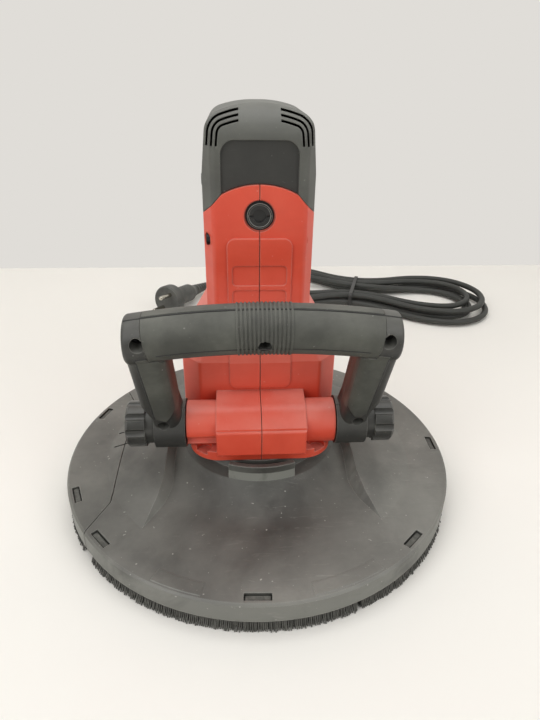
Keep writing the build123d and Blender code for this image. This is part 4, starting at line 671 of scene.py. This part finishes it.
def strandMesh(name, start, end, plan):
    dice = random.Random(plan["seed"] + len(name))
    points = []
    faces = []
    halfAlong, halfAcross = plan["strand"]
    kneeHeight, kneeLean = plan["knee"]
    low, gap, sway = plan["low"], plan["endGap"], plan["sway"]
    count = int((end - start - 2 * gap) / plan["pitch"])
    for row, shift in enumerate(plan["rows"]):
        for index in range(count):
            angle = start + gap + (index + 0.5 + plan["stagger"] * (row - 1)) * plan["pitch"]
            angle = min(max(angle, start + 2 * gap), end - 2 * gap)
            turn = math.radians(angle)
            out = Vector((math.cos(turn), math.sin(turn), 0))
            along = Vector((-math.sin(turn), math.cos(turn), 0))
            lean = out * dice.uniform(*plan["lean"]) + along * dice.uniform(-sway, sway)
            tip = dice.uniform(*plan["tip"])
            base = len(points)
            rings = ((low + plan["root"], 0.0, 1.0), (low * kneeHeight, kneeLean, 1.0), (tip, 1.0, plan["taper"]))
            for z, share, size in rings:
                centre = out * (plan["middle"] + shift) + lean * share
                for a, b in ((-1, -1), (1, -1), (1, 1), (-1, 1)):
                    corner = centre + along * (a * halfAlong * size) + out * (b * halfAcross * size)
                    points.append(mm(corner.x, corner.y, z))
            for ring in (0, 4):
                for side in range(4):
                    a, b = base + ring + side, base + ring + (side + 1) % 4
                    faces.append((a, a + 4, b + 4, b))
            faces.append((base + 8, base + 11, base + 10, base + 9))
            faces.append((base, base + 1, base + 2, base + 3))
    mesh = bpy.data.meshes.new(name + "Strands")
    mesh.from_pydata(points, [], faces)
    strands = bpy.data.objects.new(name + "Strands", mesh)
    bpy.context.scene.collection.objects.link(strands)
    pick(strands)
    bpy.ops.object.mode_set(mode="EDIT")
    bpy.ops.mesh.select_all(action="SELECT")
    bpy.ops.mesh.normals_make_consistent(inside=False)
    bpy.ops.object.mode_set(mode="OBJECT")
    return strands


for stripName, (start, end, body, lugs) in skirtPlan["strips"].items():
    wear(addStrip(stripName, start, end, body, lugs, skirtPlan), "bristleNylon")
print("bristle skirt made")

# foam pad: a cut disc of foam with eased rims, an eye and the dust holes through it
foamPlan = {
    "radius": 112.4, "eye": 9.0, "low": 1.5, "high": 11.5, "holes": 8, "holeCircle": 75.0, "holeRadius": 6.0,
    "sides": 128, "holeSides": 40, "ease": (1.2, 3, 50), "smooth": 40,
}


def addFoam(plan):
    deselectAll()
    height = plan["high"] - plan["low"]
    bpy.ops.mesh.primitive_cylinder_add(vertices=plan["sides"], radius=plan["radius"] / 1000, depth=height / 1000)
    foam = bpy.context.object
    foam.name = "foamPad"
    foam.location = mm(0, 0, plan["low"] + height / 2)
    settle(foam)
    drills = []
    for index in range(plan["holes"] + 1):
        turn = 2 * math.pi * (index + 0.5) / plan["holes"]
        circle, radius = (0, plan["eye"]) if index == plan["holes"] else (plan["holeCircle"], plan["holeRadius"])
        bpy.ops.mesh.primitive_cylinder_add(vertices=plan["holeSides"], radius=radius / 1000, depth=3 * height / 1000)
        drill = bpy.context.object
        drill.location = mm(circle * math.cos(turn), circle * math.sin(turn), plan["low"] + height / 2)
        drills.append(settle(drill))
    for drill in drills:
        cut = foam.modifiers.new("dustHole", "BOOLEAN")
        cut.object = drill
        cut.operation = "DIFFERENCE"
    easeEdges(foam, *plan["ease"])
    applyModifiers(foam)
    for drill in drills:
        bpy.data.objects.remove(drill, do_unlink=True)
    pick(foam)
    bpy.ops.object.shade_smooth_by_angle(angle=math.radians(plan["smooth"]))
    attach(foam, "spindle_set")
    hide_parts("foam_pad")
    wear(foam, "foamRubber")


addFoam(foamPlan)
print("foam pad made")

# soft panels let into the front of the handle's legs, each in a dark groove; places are in the handle's own plane
handlePlan = {"pivot": (0, -28.5, 64), "lean": 20.0, "reach": 84.4, "bow": 5.2, "half": 61.0, "barRadius": 13.5}
panelPlan = {
    "corners": [(66.8, 74.6), (61.4, 75.6), (52.6, 71.0), (51.3, 27.0), (57.0, 17.8), (63.2, 20.0)],
    "groove": {"grow": 1.2, "proud": 0.12, "finish": "blackAbs", "slot": "black_plastic"},
    "panel": {"grow": 0.0, "proud": 0.45, "finish": "gripRubber", "slot": "grip_rubber"},
    "openSide": 2,   # no groove along the rounded inner edge
    "step": 1.0, "margin": 3, "front": -40,   # the sheet starts in front of the leg and is laid back on it
    "sink": 0.4, "ease": (0.25, 2, 60), "smooth": 40,
}


def addLegPanel(name, side, layer, plan, handle):
    corners = plan["corners"]
    low = [min(corner[axis] for corner in corners) - plan["margin"] for axis in (0, 1)]
    high = [max(corner[axis] for corner in corners) + plan["margin"] for axis in (0, 1)]
    across, along = high[0] - low[0], high[1] - low[1]
    deselectAll()
    columns, rows = int(across / plan["step"]), int(along / plan["step"])
    bpy.ops.mesh.primitive_grid_add(x_subdivisions=columns, y_subdivisions=rows, size=1)
    panel = bpy.context.object
    panel.name = name
    panel.scale = (across / 1000, along / 1000, 1)
    panel.rotation_euler = (math.radians(90), 0, 0)
    panel.location = mm(side * (low[0] + high[0]) / 2, plan["front"], (low[1] + high[1]) / 2)
    settle(panel)
    middle = Vector((sum(c[0] for c in corners), sum(c[1] for c in corners))) / len(corners)
    bpy.ops.object.mode_set(mode="EDIT")
    # trim to the outline, side by side
    for index, (first, second) in enumerate(zip(corners, corners[1:] + corners[:1])):
        edge = Vector(second) - Vector(first)
        out = Vector((edge.y, -edge.x)).normalized()
        if out.dot(Vector(first) - middle) < 0:
            out = -out
        point = Vector(first) + out * (0 if index == plan["openSide"] else layer["grow"])
        bpy.ops.mesh.select_all(action="SELECT")
        cut = mm(side * point.x, plan["front"], point.y)
        bpy.ops.mesh.bisect(plane_co=cut, plane_no=(side * out.x, 0, out.y), clear_outer=True, use_fill=False)
    bpy.ops.object.mode_set(mode="OBJECT")
    panel.location = mm(*handle["pivot"])
    panel.rotation_euler = (math.radians(handle["lean"]), 0, 0)
    lay = panel.modifiers.new("lay", "SHRINKWRAP")
    lay.target = nodes["handle_front"]
    lay.wrap_method = "PROJECT"
    lay.wrap_mode = "ABOVE_SURFACE"
    lay.use_project_y = True
    lay.offset = layer["proud"] / 1000
    thick = panel.modifiers.new("thick", "SOLIDIFY")
    thick.thickness = (layer["proud"] + plan["sink"]) / 1000
    thick.offset = -1.0
    width, segments, fromAngle = plan["ease"]
    easeEdges(panel, min(width, layer["proud"]), segments, fromAngle)
    applyModifiers(panel)
    settle(panel)
    bpy.ops.object.shade_smooth_by_angle(angle=math.radians(plan["smooth"]))
    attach(panel, "handle")
    wear(panel, layer["finish"])


for sideName, side in (("Left", -1), ("Right", 1)):
    addLegPanel("legGroove" + sideName, side, panelPlan["groove"], panelPlan, handlePlan)
    addLegPanel("legPanel" + sideName, side, panelPlan["panel"], panelPlan, handlePlan)
print("leg panels laid in")

# parting line along the top of the grip: a dark bead with a paler lip behind it, and the sleeve's lower edge
seamPlan = {
    # degrees from the top towards the front, bead radius, finish, slot, half length
    "gripSeam": (0.0, 0.42, "blackAbs", "black_plastic", 69.5),
    "gripLip": (-4.2, 0.55, "gripRubber", "grip_rubber", 60.5),
    "gripEdge": (97.0, 0.36, "blackAbs", "black_plastic", 56.0),   # under the fingers' side of the soft sleeve
    "steps": 48, "sides": 10, "smooth": 50,
}


def addSeam(name, turn, radius, finish, slot, half, plan, handle):
    bowRadius = (handle["half"] ** 2 + handle["bow"] ** 2) / (2 * handle["bow"])
    bowMiddle = handle["reach"] - bowRadius
    shift = -handle["barRadius"] * math.sin(math.radians(turn))
    reach = bowRadius + handle["barRadius"] * math.cos(math.radians(turn))
    start = -math.asin(half / bowRadius)
    deselectAll()
    bpy.ops.mesh.primitive_circle_add(vertices=plan["sides"], radius=radius / 1000, fill_type="NGON")
    seam = bpy.context.object
    seam.name = name
    seam.rotation_euler = (0, math.radians(90) + start, 0)
    seam.location = mm(reach * math.sin(start), shift, bowMiddle + reach * math.cos(start))
    settle(seam)
    spinRound(plan["steps"], 2 * start, mm(0, 0, bowMiddle), (0, 1, 0))
    seam.location = mm(*handle["pivot"])
    seam.rotation_euler = (math.radians(handle["lean"]), 0, 0)
    settle(seam)
    bpy.ops.object.shade_smooth_by_angle(angle=math.radians(plan["smooth"]))
    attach(seam, "handle")
    wear(seam, finish)


for seamName in ("gripSeam", "gripLip", "gripEdge"):
    addSeam(seamName, *seamPlan[seamName], seamPlan, handlePlan)
print("grip seams drawn")

# painted shade: a dark strip standing in for the shadowed gap between the hood's collar and its front lug
collarShadePlan = {
    "inner": 46.6, "outer": 50.0, "low": 35.5, "high": 38.6, "half": 22.4,
    "steps": 36, "ease": (0.8, 3, 50), "smooth": 40,
}


# a dark piece that stands for shade, not for a part
def addCollarShade(plan):
    first = math.radians(-90 - plan["half"])
    deselectAll()
    bpy.ops.mesh.primitive_plane_add(size=1)
    shadeStrip = bpy.context.object
    shadeStrip.name = "collarShadeStrip"
    shadeStrip.scale = ((plan["outer"] - plan["inner"]) / 1000, (plan["high"] - plan["low"]) / 1000, 1)
    shadeStrip.rotation_euler = (math.radians(90), 0, first)
    middle = (plan["outer"] + plan["inner"]) / 2
    shadeStrip.location = mm(middle * math.cos(first), middle * math.sin(first), (plan["low"] + plan["high"]) / 2)
    settle(shadeStrip)
    spinRound(plan["steps"], -2 * math.radians(plan["half"]), (0, 0, 0), (0, 0, 1))
    easeEdges(shadeStrip, *plan["ease"])
    applyModifiers(shadeStrip)
    bpy.ops.object.shade_smooth_by_angle(angle=math.radians(plan["smooth"]))
    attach(shadeStrip, "housing")
    wear(shadeStrip, "blackAbs")


addCollarShade(collarShadePlan)
print("collar seal made")

# pale rim on the front brush cap: dust and a painted highlight
ringPlan = {"radius": 6.7, "thick": 0.62, "flat": 0.5, "height": 188.0, "proud": 0.2, "parts": (64, 12), "smooth": 35}


def addBrushRing(plan):
    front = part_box("brush_caps")[0][1]
    deselectAll()
    around, across = plan["parts"]
    bpy.ops.mesh.primitive_torus_add(
        major_radius=plan["radius"] / 1000, minor_radius=plan["thick"] / 1000,
        major_segments=around, minor_segments=across,
    )
    ring = bpy.context.object
    ring.name = "brushCapRim"
    ring.scale = (1, 1, plan["flat"])
    ring.rotation_euler = (math.radians(90), 0, 0)
    ring.location = (0, front, plan["height"] / 1000)
    settle(ring)
    bpy.ops.object.mode_set(mode="EDIT")   # face the front of the rim off flat
    bpy.ops.mesh.select_all(action="SELECT")
    face = (0, front - plan["proud"] / 1000, 0)
    bpy.ops.mesh.bisect(plane_co=face, plane_no=(0, -1, 0), clear_outer=True, use_fill=False)
    bpy.ops.mesh.select_all(action="SELECT")
    bpy.ops.mesh.normals_make_consistent(inside=False)
    bpy.ops.object.mode_set(mode="OBJECT")
    bpy.ops.object.shade_smooth_by_angle(angle=math.radians(plan["smooth"]))
    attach(ring, "housing")
    wear(ring, "dustAndHighlightNylon")


addBrushRing(ringPlan)
print("brush cap rim made")

bpy.context.scene.view_settings.view_transform = "Standard"
bpy.context.view_layer.update()
